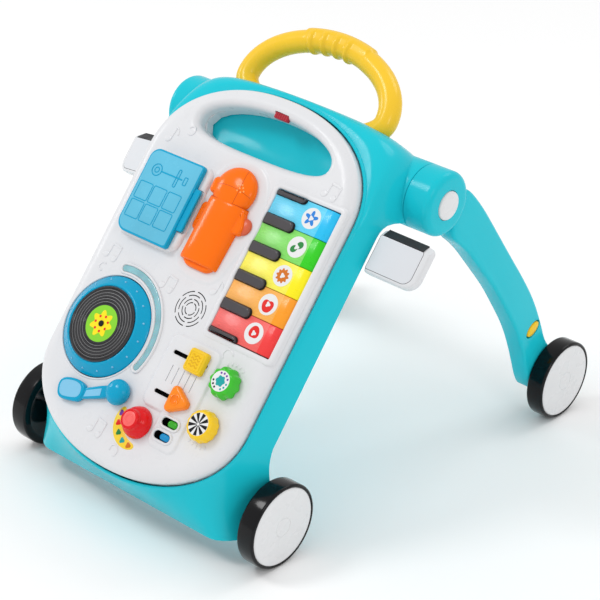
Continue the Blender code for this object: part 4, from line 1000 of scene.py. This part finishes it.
def knobs():
    """The red mode knob with its ringed cap, and two fluted knobs with round labels."""
    cone = [(0, 0.7), (17.0, 0.7), (17.6, 1.4), (17.6, 2.8), (17.2, 4.6), (16.5, 6.6), (15.6, 8.6),
            (14.6, 10.2), (13.6, 11.4), (12.7, 12.2), (12.0, 12.8), (11.6, 13.6), (11.5, 14.6),
            (11.3, 16.6), (10.9, 17.8), (10.1, 18.6), (9.2, 18.9), (8.6, 18.7), (8.2, 18.2), (0, 18.0)]
    dress(turned("mode_knob_cone", cone, at=MODE_KNOB_AT, steps=80), "red", "mode_knob", "red_plastic",
          "mode_knob")
    cap = [(0, 17.8), (8.1, 17.8), (8.1, 18.2), (7.7, 18.4), (5.2, 18.45), (4.9, 18.9), (4.4, 19.1),
           (3.9, 18.9), (3.6, 18.45), (0, 18.5)]
    dress(turned("mode_knob_cap", cap, at=MODE_KNOB_AT), "pink_red", "mode_knob", "red_plastic")
    for name, at, lobes, depth in (("green", GREEN_KNOB_AT, 10, 1.7), ("yellow", YELLOW_KNOB_AT, 14, 0.7)):
        shape = polar(at, lambda a, n=lobes, d=depth: KNOB_R - d * (0.5 - 0.5 * math.cos(n * a)), 144)
        stations = [(-0.8, 0.7), (0, 1.6), (0.2, 3.6), (-0.1, 6.4), (-0.8, 9.6), (-1.6, 11.8),
                    (-2.7, 13.2), (-4.0, KNOB_H - 0.1), (-4.8, KNOB_H)]
        dress(stack(name + "_knob_body", shape, stations), name, name + "_knob",
              name + ("_plastic" if name == "green" else "_controls"), name + "_knob", angle=44)
    top = KNOB_H
    knob_label("green_knob", GREEN_KNOB_AT, 11.2)
    flower = polar(GREEN_KNOB_AT, lambda a: 5.6 + 0.6 * math.cos(6 * a), 72)
    centre = slab("green_knob_centre", flower, top, top + 0.38, 0.1)
    dress(centre, "label_teal", "green_knob", "green_plastic")
    for look, start, count in (("label_purple", 30, 4), ("outline", 190, 3), ("label_teal", 300, 3)):
        spots = [slab("d", disc(round_spot(GREEN_KNOB_AT, 8.7, start + 27 * k), 1.2, 20), top, top + 0.38,
                      0.1) for k in range(count)]
        dress(together("green_knob_dots_" + look, *spots), look, "green_knob", "green_plastic")
    knob_label("yellow_knob", YELLOW_KNOB_AT, 12.2)
    spokes = []
    for k in range(9):
        inner = arc(YELLOW_KNOB_AT, 1.5, 40 * k + 12, 40 * k - 12, 2)
        wedge = arc(YELLOW_KNOB_AT, 11.9, 40 * k - 10.5, 40 * k + 10.5, 5) + inner
        spokes.append(stack("s", growing(wedge), [(0, top), (0, top + 0.36)]))
    dress(together("yellow_knob_spokes", *spokes), "outline", "yellow_knob", "dark_gloss")


def turntable():
    """A dished blue platter with raised dots, a grooved record, its label and the lit arc beside it."""
    profile = [(0, -1.6), (PLATTER_R - 0.4, -1.6), (PLATTER_R, -1.2), (PLATTER_R, 0.3),
               (PLATTER_R - 0.4, 1.0), (PLATTER_R - 1.3, 1.7), (RECORD_R + 3.6, 9.1),
               (RECORD_R + 2.8, 9.6), (RECORD_R + 1.6, 9.6), (RECORD_R + 0.9, 9.2),
               (RECORD_R + 0.6, 8.4), (0, 8.4)]
    dress(turned("platter_ring", profile, at=PLATTER_AT, steps=128), "blue", "turntable",
          "blue_plastic", "platter")
    dots = [turned("d", [(0, 3.5), (1.0, 3.5), (1.0, 5.4), (0.7, 5.9), (0, 6.1)],
                   at=round_spot(PLATTER_AT, 51.2, 360 * k / 16), steps=14) for k in range(16)]
    dress(together("platter_dots", *dots), "pale_blue", "turntable", "blue_plastic")
    groove = [(0, 8.7), (RECORD_R, 8.7), (RECORD_R, 9.7), (RECORD_R - 0.7, 10.2)]
    radius = RECORD_R - 2.0
    while radius > 22.6:
        groove += [(radius, 10.2), (radius - 0.35, 9.75), (radius - 0.7, 10.2)]
        radius -= 2.6 if round(radius * 10) % 3 else 3.4
    groove += [(21.6, 10.2), (0, 10.2)]
    dress(turned("record_disc", groove, at=PLATTER_AT, steps=112), "record", "turntable",
          "dark_gloss", "record", angle=20)
    dress(slab("record_label", disc(PLATTER_AT, 20.6, 72), 10.1, 10.45, 0.15), "lime", "turntable",
          "green_plastic")
    # Thin light-grey rings on the record: painted sheen, the glint of light along its grooves.
    shines = [turned("g", [(r, 9.9), (r + 0.5, 9.9), (r + 0.5, 10.32), (r, 10.32)], at=PLATTER_AT,
                     steps=112, looped=True) for r in (24.4, 27.8, 31.0, 34.4, 37.8)]
    dress(together("record_sheen_rings", *shines), "groove", "turntable", "dark_gloss")
    flower = polar(PLATTER_AT, lambda a: 12.8 + 2.4 * math.cos(7 * a), 112)
    dress(slab("record_flower", flower, 10.3, 10.65, 0.15), "sun", "turntable", "yellow_controls")
    spots = [slab("d", disc(round_spot(PLATTER_AT, 8.6, 360 * (k + 0.5) / 7), 1.5, 20), 10.5, 10.8, 0.1)
             for k in range(7)]
    dress(together("record_dots", *spots), "label_red", "turntable", "red_plastic")
    dress(turned("record_spindle", [(0, 10.3), (3.4, 10.3), (3.4, 11.2), (2.9, 11.8), (0, 12.0)],
                 at=PLATTER_AT, steps=32), "outline", "turntable", "dark_gloss")
    light = bow(PLATTER_AT, LIGHT_R, LIGHT_WIDTH, LIGHT_FROM, LIGHT_TO, 48, 8)
    dress(slab("light_cover", light, -1.6, 1.3, 1.0, steps=5), "aqua", "music_board", "aqua_clear",
          "light_strip")
    white = [rim("r", light, 0.15, 3.4, -1.0, 2.1),
             rim("r", disc(PLATTER_AT, PLATTER_R + 0.9, 112), 0.0, 2.4, -1.0, 1.0)]
    dress(together("turntable_rims", *white), "white", "music_board", "white_plastic", angle=60)


def tone_arm():
    """The ball-topped arm with a bent bar and a paddle at its end."""
    ball = turned("b", [(0, 0.6), (11.4, 0.6), (12.8, 1.4), (13.9, 3.6), (14.3, 6.0), (13.9, 8.6),
                        (12.5, 11.2), (10.2, 13.4), (7.2, 14.9), (3.7, 15.7), (0, 15.9)],
                  at=ARM_AT, steps=56)
    bar = counter_clockwise([(-20, -49.5), (-39.5, -58), (-61, -69.5), (-60, -81.5), (-34, -70.5),
                             (-20, -63.5)])
    paddle = counter_clockwise(smooth_loop([(-94.5, -77.0), (-91.5, -67.5), (-71.0, -62.5), (-56.0, -66.5),
                                            (-56.5, -84.0), (-72.0, -88.5), (-87.5, -90.5)], 2))
    inset = counter_clockwise(smooth_loop([(-90.6, -77.0), (-88.5, -69.8), (-71.0, -65.6), (-61.0, -68.8),
                                           (-59.5, -80.8), (-72.0, -85.0), (-85.0, -87.4)], 2))
    panel = counter_clockwise([(-37.0, -60.6), (-54.6, -69.6), (-54.4, -77.2), (-35.0, -68.4)])
    parts = []
    for name, points, high, radius in (("bar", bar, 6.2, 1.6), ("paddle", paddle, 7.4, 2.0)):
        parts.append(slab(name, growing(points), 1.2, high, radius, steps=5, under=0.5))
    dress(together("tone_arm_body", ball, *parts), "blue", "tone_arm", "blue_plastic", "tone_arm")
    insets = [slab("inset", growing(inset), 7.1, 7.7, 0.3), slab("inset", growing(panel), 5.9, 6.5, 0.2)]
    dress(together("tone_arm_panels", *insets), "pale_blue", "tone_arm", "blue_plastic")


def glyph(kind, centre, size, steps=40):
    """Generic printed motifs for the round key stickers."""
    cx, cy = centre

    def reach(a):
        if kind == "star":
            return size * (0.72 + 0.28 * math.cos(5 * (a - math.pi / 2)))
        if kind == "leaf":
            return size * (0.62 + 0.34 * math.cos(2 * (a - math.pi / 4)))
        if kind == "sun":
            return size * (0.84 + 0.12 * math.cos(10 * a))
        if kind == "heart":
            across = abs(math.cos(a))
            return size * (0.72 - 0.30 * math.sin(a) * (1 - 0.9 * across ** 2) + 0.12 * across)
        return size * (0.75 + 0.2 * math.sin(a) ** 3)
    return polar((cx, cy), reach, 3 * steps)


def key_profile(low_v, high_v):
    """Side view of a key swept across its width, with softened edges."""
    path = [(KEY_LEFT_U, -5.0), (KEY_LEFT_U, 0.0), (KEY_LEFT_U + 0.4, 0.4), (124.0, 0.4), (125.5, 0.3),
            (128.0, -0.5), (131.0, -1.7), (133.2, -2.7), (133.9, -3.3), (134.0, -4.2), (133.8, -5.2)]
    rings = []
    for inset, v in ((0.7, low_v), (0.25, low_v + 0.15), (0.0, low_v + 0.6), (0.0, high_v - 0.6),
                     (0.25, high_v - 0.15), (0.7, high_v)):
        rings.append([(u, v, h - (inset if h > -4.5 else 0)) for u, h in path])
    return rings


def piano():
    """Five keys with stickers, and the fixed dark keys that bridge the joins."""
    motifs = ("star", "leaf", "sun", "heart", "drop")
    for number, ((name, colour, band, motif_look), motif) in enumerate(zip(KEYS, motifs), 1):
        high_v = KEYS_HIGH_V - (number - 1) * KEY_PITCH - 0.25
        low_v = high_v - KEY_PITCH + 0.5
        body = "piano_key_%d" % number
        key = loft(body + "_face", key_profile(low_v, high_v))
        dress(key, key_plastic("key_face_" + name, colour, band), body, "key_" + name, body, angle=50)
        centre = (104.0, (low_v + high_v) / 2 + 0.6)
        sticker = slab(body + "_sticker", disc(centre, 11.6, 56), 0.3, 0.62, 0.15)
        dress(sticker, "paper", body, "white_plastic")
        printed = stack(body + "_motif", glyph(motif, centre, 8.6), [(0, 0.5), (0, 0.74)])
        dress(printed, motif_look, body, "key_" + name)
        inner = polar(centre, lambda a: 2.6 + 0.6 * math.cos(3 * a), 60)
        dress(slab(body + "_motif_eye", inner, 0.6, 0.86, 0.1), "paper", body, "white_plastic")
    fingers, outlines = [], []
    for number in range(KEY_COUNT + 1):
        v = KEYS_LOW_V + number * KEY_PITCH
        low_v, high_v = max(v - 6.3, KEYS_LOW_V + 0.3), min(v + 6.3, KEYS_HIGH_V - 0.3)
        corner = (5.4 if number < KEY_COUNT else 0.8, 0.8, 0.8, 5.4 if number else 0.8)
        finger = rounded(KEY_LEFT_U + 1.2, 89.6, low_v + 0.8, high_v - 0.8, corner, 7)
        fingers.append(slab("f", finger, 0.8, 4.4, 1.9, steps=6))
        outlines.append(stack("o", rounded(KEY_LEFT_U + 0.3, 90.8, low_v, high_v, corner, 7),
                              [(0, 0.5), (0, 1.5), (-0.4, 1.8)]))
        # Narrow black strip down in the gap between two keys: painted shade.
        if 0 < number < KEY_COUNT:
            outlines.append(stack("o", rounded(90, 133, v - 0.22, v + 0.22, 0.1, 2), [(0, -4.8), (0, -3.9)]))
    # Black strips down along both ends of the keys: painted shade in the gaps at the window's edges.
    for near_u, far_u, low in ((KEY_LEFT_U - 0.75, KEY_LEFT_U - 0.05, -6.5),
                               (KEY_RIGHT_U - 0.75, KEY_RIGHT_U + 0.25, -8.5)):
        outlines.append(stack("o", rounded(near_u, far_u, KEYS_LOW_V - 0.7, KEYS_HIGH_V + 0.7, 0.2, 2),
                              [(0, low), (0, low + 1.1)]))
    dress(together("dark_key_fingers", *fingers), "key_black", "music_board", "dark_gloss", "dark_keys")
    dress(together("dark_key_outlines_and_gap_shade", *outlines), "outline", "music_board", "dark_gloss")


def blue_door():
    """A door on a raised white base, with a key and six squares in relief."""
    left, right, low, high = BLUE_DOOR
    base = slab("door_plinth", rounded(left - 2, right + 9, low - 2, high + 2, (15, 8, 8, 17), 10),
                -4.0, 6.2, 6.0, steps=9)
    niche = slab("niche", rounded(right - 6, -33.4, 123.6, 174.4, (3, 0.5, 0.5, 3), 5), 3.0, 12, 0.1,
                 steps=1)
    combine(base, "DIFFERENCE", niche)
    dress(base, "white", "music_board", "white_plastic")
    panel = rounded(left, right, low, high, (4, 12, 14, 4), 10)
    # The leaf round the face is in the deeper blue: painted shade on the door's edges.
    leaf = slab("leaf", panel, 6.4, 12.6, 1.6, steps=6, under=0.5)
    tab = slab("tab", rounded(right - 6, -34, 124.2, 173.8, (3, 0.5, 0.5, 3), 6), 6.8, 10.4, 1.2, steps=5,
               under=0.5)
    dress(together("blue_door_leaf", leaf, tab), "blue", "blue_door", "blue_plastic", "blue_door")
    # The face, a lighter copy of the door's blue: the door's own colour with painted sheen on its lit face.
    face = rounded(left + 2.2, right - 2.0, low + 2.2, high - 2.2, (3, 10.5, 12.5, 3), 10)
    dress(slab("blue_door_face", face, 12.4, 12.85, 0.3), "door", "blue_door", "blue_plastic")
    # The lines round the squares and the key are drawn in the deeper blue: painted shade, standing in for
    # grooves.
    lines = []
    for v in (149.5, 127.5):
        for u in (-104.0, -83.0, -61.5):
            square = rounded(u - 9.4, u + 9.4, v - 9.8, v + 9.8, 1.8, 4)
            lines.append(rim("l", square, -0.55, 0.55, 12.5, 13.3))
    bow_at = (-100.0, 176.0)
    for shape, half in ((disc(bow_at, 6.6, 36), 0.6), (disc(bow_at, 2.9, 28), 0.6),
                        (rounded(-71.0, -67.6, 165.4, 185.6, 1.5, 4), 0.55),
                        (rounded(-59.6, -55.2, 171.2, 180.0, 1.0, 3), 0.5)):
        lines.append(rim("l", shape, -half, half, 12.5, 13.4))
    lines.append(slab("l", rounded(-92.6, -62.0, 175.2, 176.8, 0.3, 2), 12.5, 13.3, 0.3, steps=2))
    dress(together("blue_door_groove_shade_lines", *lines), "blue", "blue_door", "blue_plastic")


def barrel_section(half, rise, low, count=28):
    """Half of a flattened tube, from its right foot over the top to its left foot."""
    power = 2.35
    section = [(half, low)]
    for i in range(count + 1):
        angle = math.pi * i / count
        across = math.copysign(abs(math.cos(angle)) ** (2 / power), math.cos(angle)) * half
        section.append((across, low + 0.8 + (rise - 0.8) * max(math.sin(angle), 0) ** (2 / power)))
    section.append((-half, low))
    return section


def microphone():
    """The door shaped as a microphone: a rounded body, a ball head, a tail and a thumb tab."""
    low, top_v = MIC_LOW_V, MIC_BODY_TOP
    rings = []
    for v, half, rise in ((low + 0.3, 23.8, 9.6), (low + 0.6, 24.6, 11.0), (low + 1.4, 25.1, 12.0),
                          (low + 3.0, 25.4, 12.6), (120, 25.6, 13.0), (140, 25.8, 13.3), (155, 26.0, 13.4),
                          (top_v - 3.0, 26.4, 13.6), (top_v - 0.8, 26.3, 13.4), (top_v, 25.9, 13.0)):
        middle = 2.5 * (v - low) / (top_v - low)
        rings.append([(middle + u, v, h) for u, h in barrel_section(half, rise, 0.7)])
    body = loft("m", rings)
    tail = slab("m", rounded(-24.0, 25.4, 95.4, 135.0, 16, 10), 0.7, 7.2, 4.6, steps=7, under=0.4)
    head = turned("m", MIC_DOME, at=MIC_HEAD_AT, steps=72)
    ear = slab("m", rounded(-26.6, 0, 177.0, 196.0, (1, 6, 5, 1), 7), 0.7, 12.4, 5.4, steps=9, under=0.3)
    flank_shape = smooth_loop([(20.0, 144.5), (31.5, 144.8), (35.4, 149.5), (35.2, 156.0), (32.2, 163.0),
                               (28.6, 171.0), (20.0, 173.0)], 3)
    flank = slab("m", growing(flank_shape), 0.7, 8.6, 3.0, steps=7, under=0.3)
    dress(together("microphone_body", body, tail, head, ear, flank), "orange", "microphone_door",
          "orange_plastic", "microphone_door", angle=46)
    bump = turned("microphone_tab", [(0, 0.7), (8.8, 0.7), (9.4, 1.4), (9.2, 3.0), (8.0, 4.6), (5.4, 5.6),
                                     (0, 6.0)], at=(32.6, 157.0), steps=44)
    dress(bump, "coral", "microphone_door", "orange_plastic")
    cover = [slab("m", rounded(-32.0, -18.0, 134.0, 167.0, (1, 6, 6, 1), 7), -0.6, 2.6, 1.8, steps=5)]
    for k in range(4):
        cover.append(slab("m", capsule((-26.0, 140.5 + 6.6 * k), 9.0, 2.2, 14, 4), 1.6, 3.3, 0.8, steps=3))
    dress(together("microphone_hinge_cover", *cover), "orange", "music_board", "orange_plastic")


def over_head(u, v):
    """Height of the microphone head's surface at a place on the board."""
    radius = math.dist((u, v), MIC_HEAD_AT)
    for (near_r, near_h), (far_r, far_h) in zip(reversed(MIC_DOME[4:]), reversed(MIC_DOME[3:-1])):
        if near_r <= radius <= far_r:
            return near_h + (far_h - near_h) * (radius - near_r) / (far_r - near_r)
    return MIC_DOME[3][1]


def microphone_seams():
    """Two fine lines over the head, and the edge where the body meets it, in a darker orange: painted shade
    in the seams.
    """
    cx, cy = MIC_HEAD_AT
    seams = []
    for across in (True, False):
        rings = []
        for i in range(41):
            t = 1.25 * i - 25.0
            sag = 1 - (t / 25.0) ** 2
            u, v = (cx + t, cy - 1.5 + 3.5 * sag) if across else (cx + 8.0 + 4.0 * sag, cy + t)
            if math.dist((u, v), MIC_HEAD_AT) > 25.8 or v < MIC_BODY_TOP - 0.5:
                continue
            rise = over_head(u, v)
            side = (0, 0.42) if across else (0.42, 0)
            rings.append([(u - side[0], v - side[1], rise - 0.5), (u + side[0], v + side[1], rise - 0.5),
                          (u + side[0] * 0.6, v + side[1] * 0.6, rise + 0.14),
                          (u - side[0] * 0.6, v - side[1] * 0.6, rise + 0.14)])
        seams.append(loft("s", rings))
    edge = [[(2.5 + u, MIC_BODY_TOP + step, h) for u, h in barrel_section(26.3, rise, 0.7)]
            for step, rise in ((-0.1, 13.3), (0.6, 12.9))]
    seams.append(loft("s", edge))
    dress(together("microphone_seams", *seams), "dark_orange", "microphone_door", "orange_plastic", angle=30)


def microphone_dots():
    """A cluster of small raised dots on the head."""
    cx, cy = MIC_HEAD_AT
    dots = []
    for du, dv in ((0, 0), (3.4, 1.6), (-3.0, 2.2), (1.0, 4.2), (5.6, -1.6), (-1.6, -3.0), (2.8, -3.4)):
        u, v = cx + 11.5 + du, cy + 3.5 + dv
        rise = over_head(u, v)
        dots.append(turned("d", [(0, rise - 0.8), (1.05, rise - 0.8), (1.05, rise), (0.6, rise + 0.4),
                                 (0, rise + 0.45)], at=(u, v), steps=14))
    dress(together("microphone_dots", *dots), "apricot", "microphone_door", "orange_plastic")


def microphone_surround():
    """The low raised field of the board round the microphone."""
    ridge = counter_clockwise(smooth_loop(
        [(-17, 88), (16, 86), (31, 94), (36, 116), (43, 138), (47, 160), (41, 196), (27, 217), (4, 223),
         (-20, 216), (-32, 200), (-35, 176), (-36, 130), (-30, 96)], 4))
    surround = soft_plate("microphone_surround", growing(ridge), 0.9, 4.0)
    combine(surround, "DIFFERENCE", hinge_pocket())
    dress(surround, "white", "music_board", "white_plastic", angle=60)


# ---------------------------------------------------------------- raised drawings on the board

def strip(points, width, name="strip"):
    """A narrow raised line along an open path."""
    half = width / 2
    left, right = [], []
    for i, here in enumerate(points):
        along = (Vector(points[min(i + 1, len(points) - 1)]) - Vector(points[max(i - 1, 0)])).normalized()
        left.append((here[0] - along.y * half, here[1] + along.x * half))
        right.append((here[0] + along.y * half, here[1] - along.x * half))
    return stack(name, growing(right + left[::-1]), [(0.25, -0.5), (0.2, 0.25), (0, 0.55), (-0.3, 0.7)])


def note(at, height, lean=0.0, double=False):
    """An embossed music note: oval head, stem and flag."""
    x, y = at
    head = polar(at, lambda a: 3.4 / math.hypot(math.cos(a - 0.5) / 1.25, math.sin(a - 0.5)), 28)
    bead = [(0.2, -0.5), (0.1, 0.3), (-0.3, 0.6), (-1.2, 0.75)]
    parts = [stack("n", head, bead)]
    top = (x + 3.4 + lean, y + height)
    parts.append(strip([(x + 3.4, y + 1), top], 1.3))
    if double:
        parts.append(stack("n", polar((x + 13, y - 2), lambda a: 3.6, 24), bead))
        parts.append(strip([(x + 16.4, y - 1), (x + 16.4 + lean, y + height - 2)], 1.3))
        parts.append(strip([top, (x + 16.4 + lean, y + height - 2)], 2.6))
    else:
        parts.append(strip([top, (top[0] + 4, top[1] - 3), (top[0] + 5.4, top[1] - 8)], 1.4))
    return parts


def curl(at, radius, start, end, width=1.5, shrink=0.0):
    """An embossed swirl that tightens by its shrink."""
    shares = [i / 18 for i in range(19)]
    return strip([round_spot(at, radius * (1 - shrink * share), start + (end - start) * share)
                  for share in shares], width)


def drawings():
    """Generic raised decoration: notes, swirls and ticks."""
    parts = []
    for at, height, lean, double in (((-117, 214), 15, 2.0, False), ((-122, 71), 14, 1.0, True),
                                     ((-33, 66), 13, 1.0, True), ((33, 82), 13, 1.0, False),
                                     ((104, 222), 13, 1.0, True), ((-32, -104), 14, 1.0, True)):
        parts += note(at, height, lean, double)
    for at, radius, start, end, shrink in (((-118, 56), 6, 60, 300, 0.5), ((-92, 232), 6, -120, 160, 0.4),
                                           ((86, 28), 8, 20, 230, 0.4), ((8, -112), 7, -60, 200, 0.4)):
        parts.append(curl(at, radius, start, end, 1.4, shrink))
    for angle in (60, 75, 90, 105, 120):
        for centre, turn in ((GREEN_KNOB_AT, angle), (YELLOW_KNOB_AT, -angle)):
            parts.append(strip([round_spot(centre, 20, turn), round_spot(centre, 23.5, turn)], 1.3))
    dress(together("raised_drawings", *parts), "white", "music_board", "white_plastic", angle=60)


def crescent():
    """The printed yellow band with coloured dots under the mode knob."""
    middle = 25.8

    def band(grow=0.0):
        outside, inside = [], []
        for i in range(41):
            degrees = 160 + (288 - 160) * i / 40
            half = 6.8 * math.sin(math.pi * i / 40) ** 0.4 + grow
            outside.append(round_spot(MODE_KNOB_AT, middle + half, degrees))
            inside.append(round_spot(MODE_KNOB_AT, middle - half, degrees))
        return outside + inside[::-1][1:-1]
    dress(stack("mode_label", band, [(0, -0.4), (0, 0.22), (-0.15, 0.32)]), "crescent", "music_board",
          "yellow_controls")
    for look, angle in (("label_purple", 177), ("label_red", 201), ("label_leaf", 225), ("label_teal", 249),
                        ("label_brown", 272)):
        shape = polar(round_spot(MODE_KNOB_AT, middle, angle), lambda t: 3.1 + 0.5 * math.cos(3 * t), 40)
        dress(stack("mode_label_" + look, shape, [(0, 0.1), (0, 0.42), (-0.15, 0.5)]), look, "music_board",
              "white_plastic")


def latch():
    """The ribbed thumb piece above the carry slot."""
    parts = [slab("l", rounded(-2.6, 16.6, 277.8, 285.6, 1.6, 4), -8.0, -2.6, 1.2, steps=4, under=0.5)]
    for k in range(6):
        u = -0.2 + 2.9 * k
        parts.append(slab("l", rounded(u, u + 1.3, 278.6, 284.8, 0.5, 3), -3.4, -1.9, 0.5, steps=3))
    dress(together("latch_thumb", *parts), "dark_red", "release_latch", "dark_red_plastic", "release_latch")


# ---------------------------------------------------------------- assembly

frame_front()
rear_lip()
handle()
legs()
wheels()
flaps()
board_face()
mixer()
sliders()
knobs()
turntable()
tone_arm()
piano()
blue_door()
microphone()
microphone_seams()
microphone_dots()
microphone_surround()
drawings()
crescent()
latch()

PLAIN_NODES = {
    "rear_shell": "teal", "leg_cover_left": "teal", "leg_cover_right": "teal",
    "board_back": "white", "battery_door": "white", "battery_screw": "steel",
    "battery_cell_1": "cell", "battery_cell_2": "cell", "battery_cell_3": "cell",
    "circuit_board": "circuit", "speaker": "rubber", "front_axle": "steel",
    "rear_axle_left": "steel", "rear_axle_right": "steel",
    "hinge_pin_left": "steel", "hinge_pin_right": "steel",
}
for node, look in PLAIN_NODES.items():
    for material_slot in NODES[node].material_slots:
        material_slot.material = LOOKS[look]


# ---------------------------------------------------------------- floor, light, camera

def floor():
    """A large sheet of pale paper."""
    bpy.ops.mesh.primitive_plane_add(size=30, location=(0, 0, -0.0004))
    ground = bpy.context.object
    ground.name = "floor"
    material, tree, shader, place = new_material("floor_paper")
    share = spread(tree, noise(tree, place, 1.5, 2.0), 0.0, 1.0)
    tree.links.new(mix(tree, share, (0.965, 0.965, 0.965), (0.98, 0.98, 0.98)), shader.inputs["Base Color"])
    shader.inputs["Roughness"].default_value = 0.9
    shader.inputs["Specular IOR Level"].default_value = 0.1
    ground.data.materials.append(material)


def soft_light(name, at, size, watts, aim=(0, 0, 0.2)):
    data = bpy.data.lights.new(name, "AREA")
    data.shape = "DISK"
    data.size = size
    data.energy = watts
    light = bpy.data.objects.new(name, data)
    bpy.context.scene.collection.objects.link(light)
    light.location = at
    light.rotation_euler = (Vector(aim) - Vector(at)).to_track_quat("-Z", "Y").to_euler()


def studio():
    """Four soft lamps and an even white surround."""
    soft_light("key_light", (-1.3, -1.5, 2.7), 0.9, 24.0)
    soft_light("side_light", (-2.5, -0.85, 1.2), 0.7, 8.0)
    soft_light("fill_light", (2.6, -1.0, 1.9), 1.0, 11.0)
    soft_light("back_light", (0.6, 2.2, 2.6), 1.6, 17.0)
    world = bpy.data.worlds.new("studio")
    world.use_nodes = True
    background = world.node_tree.nodes["Background"]
    background.inputs["Color"].default_value = (1.0, 1.0, 1.0, 1.0)
    background.inputs["Strength"].default_value = 0.74
    bpy.context.scene.world = world
    bpy.context.scene.view_settings.view_transform = "Standard"
    bpy.context.scene.view_settings.look = "None"


def camera():
    """Place the camera from its angles: azimuth, elevation, then roll about the view."""
    azimuth, elevation, roll = (math.radians(a) for a in
                                (CAMERA_AZIMUTH, CAMERA_ELEVATION, CAMERA_ROLL))
    right = Vector((math.cos(azimuth), math.sin(azimuth), 0))
    back = Vector((math.sin(azimuth) * math.cos(elevation),
                   -math.cos(azimuth) * math.cos(elevation), math.sin(elevation)))
    up = back.cross(right)
    level_right = right * math.cos(roll) + up * math.sin(roll)
    level_up = up * math.cos(roll) - right * math.sin(roll)
    data = bpy.data.cameras.new("camera")
    data.sensor_width = 36.0
    data.lens = CAMERA_LENS
    data.clip_end = 50.0
    eye = bpy.data.objects.new("camera", data)
    bpy.context.scene.collection.objects.link(eye)
    eye.matrix_world = (Matrix.Translation(Vector(CAMERA_AT) * MM)
                        @ Matrix((level_right, level_up, back)).transposed().to_4x4())
    bpy.context.scene.camera = eye


floor()
studio()
camera()
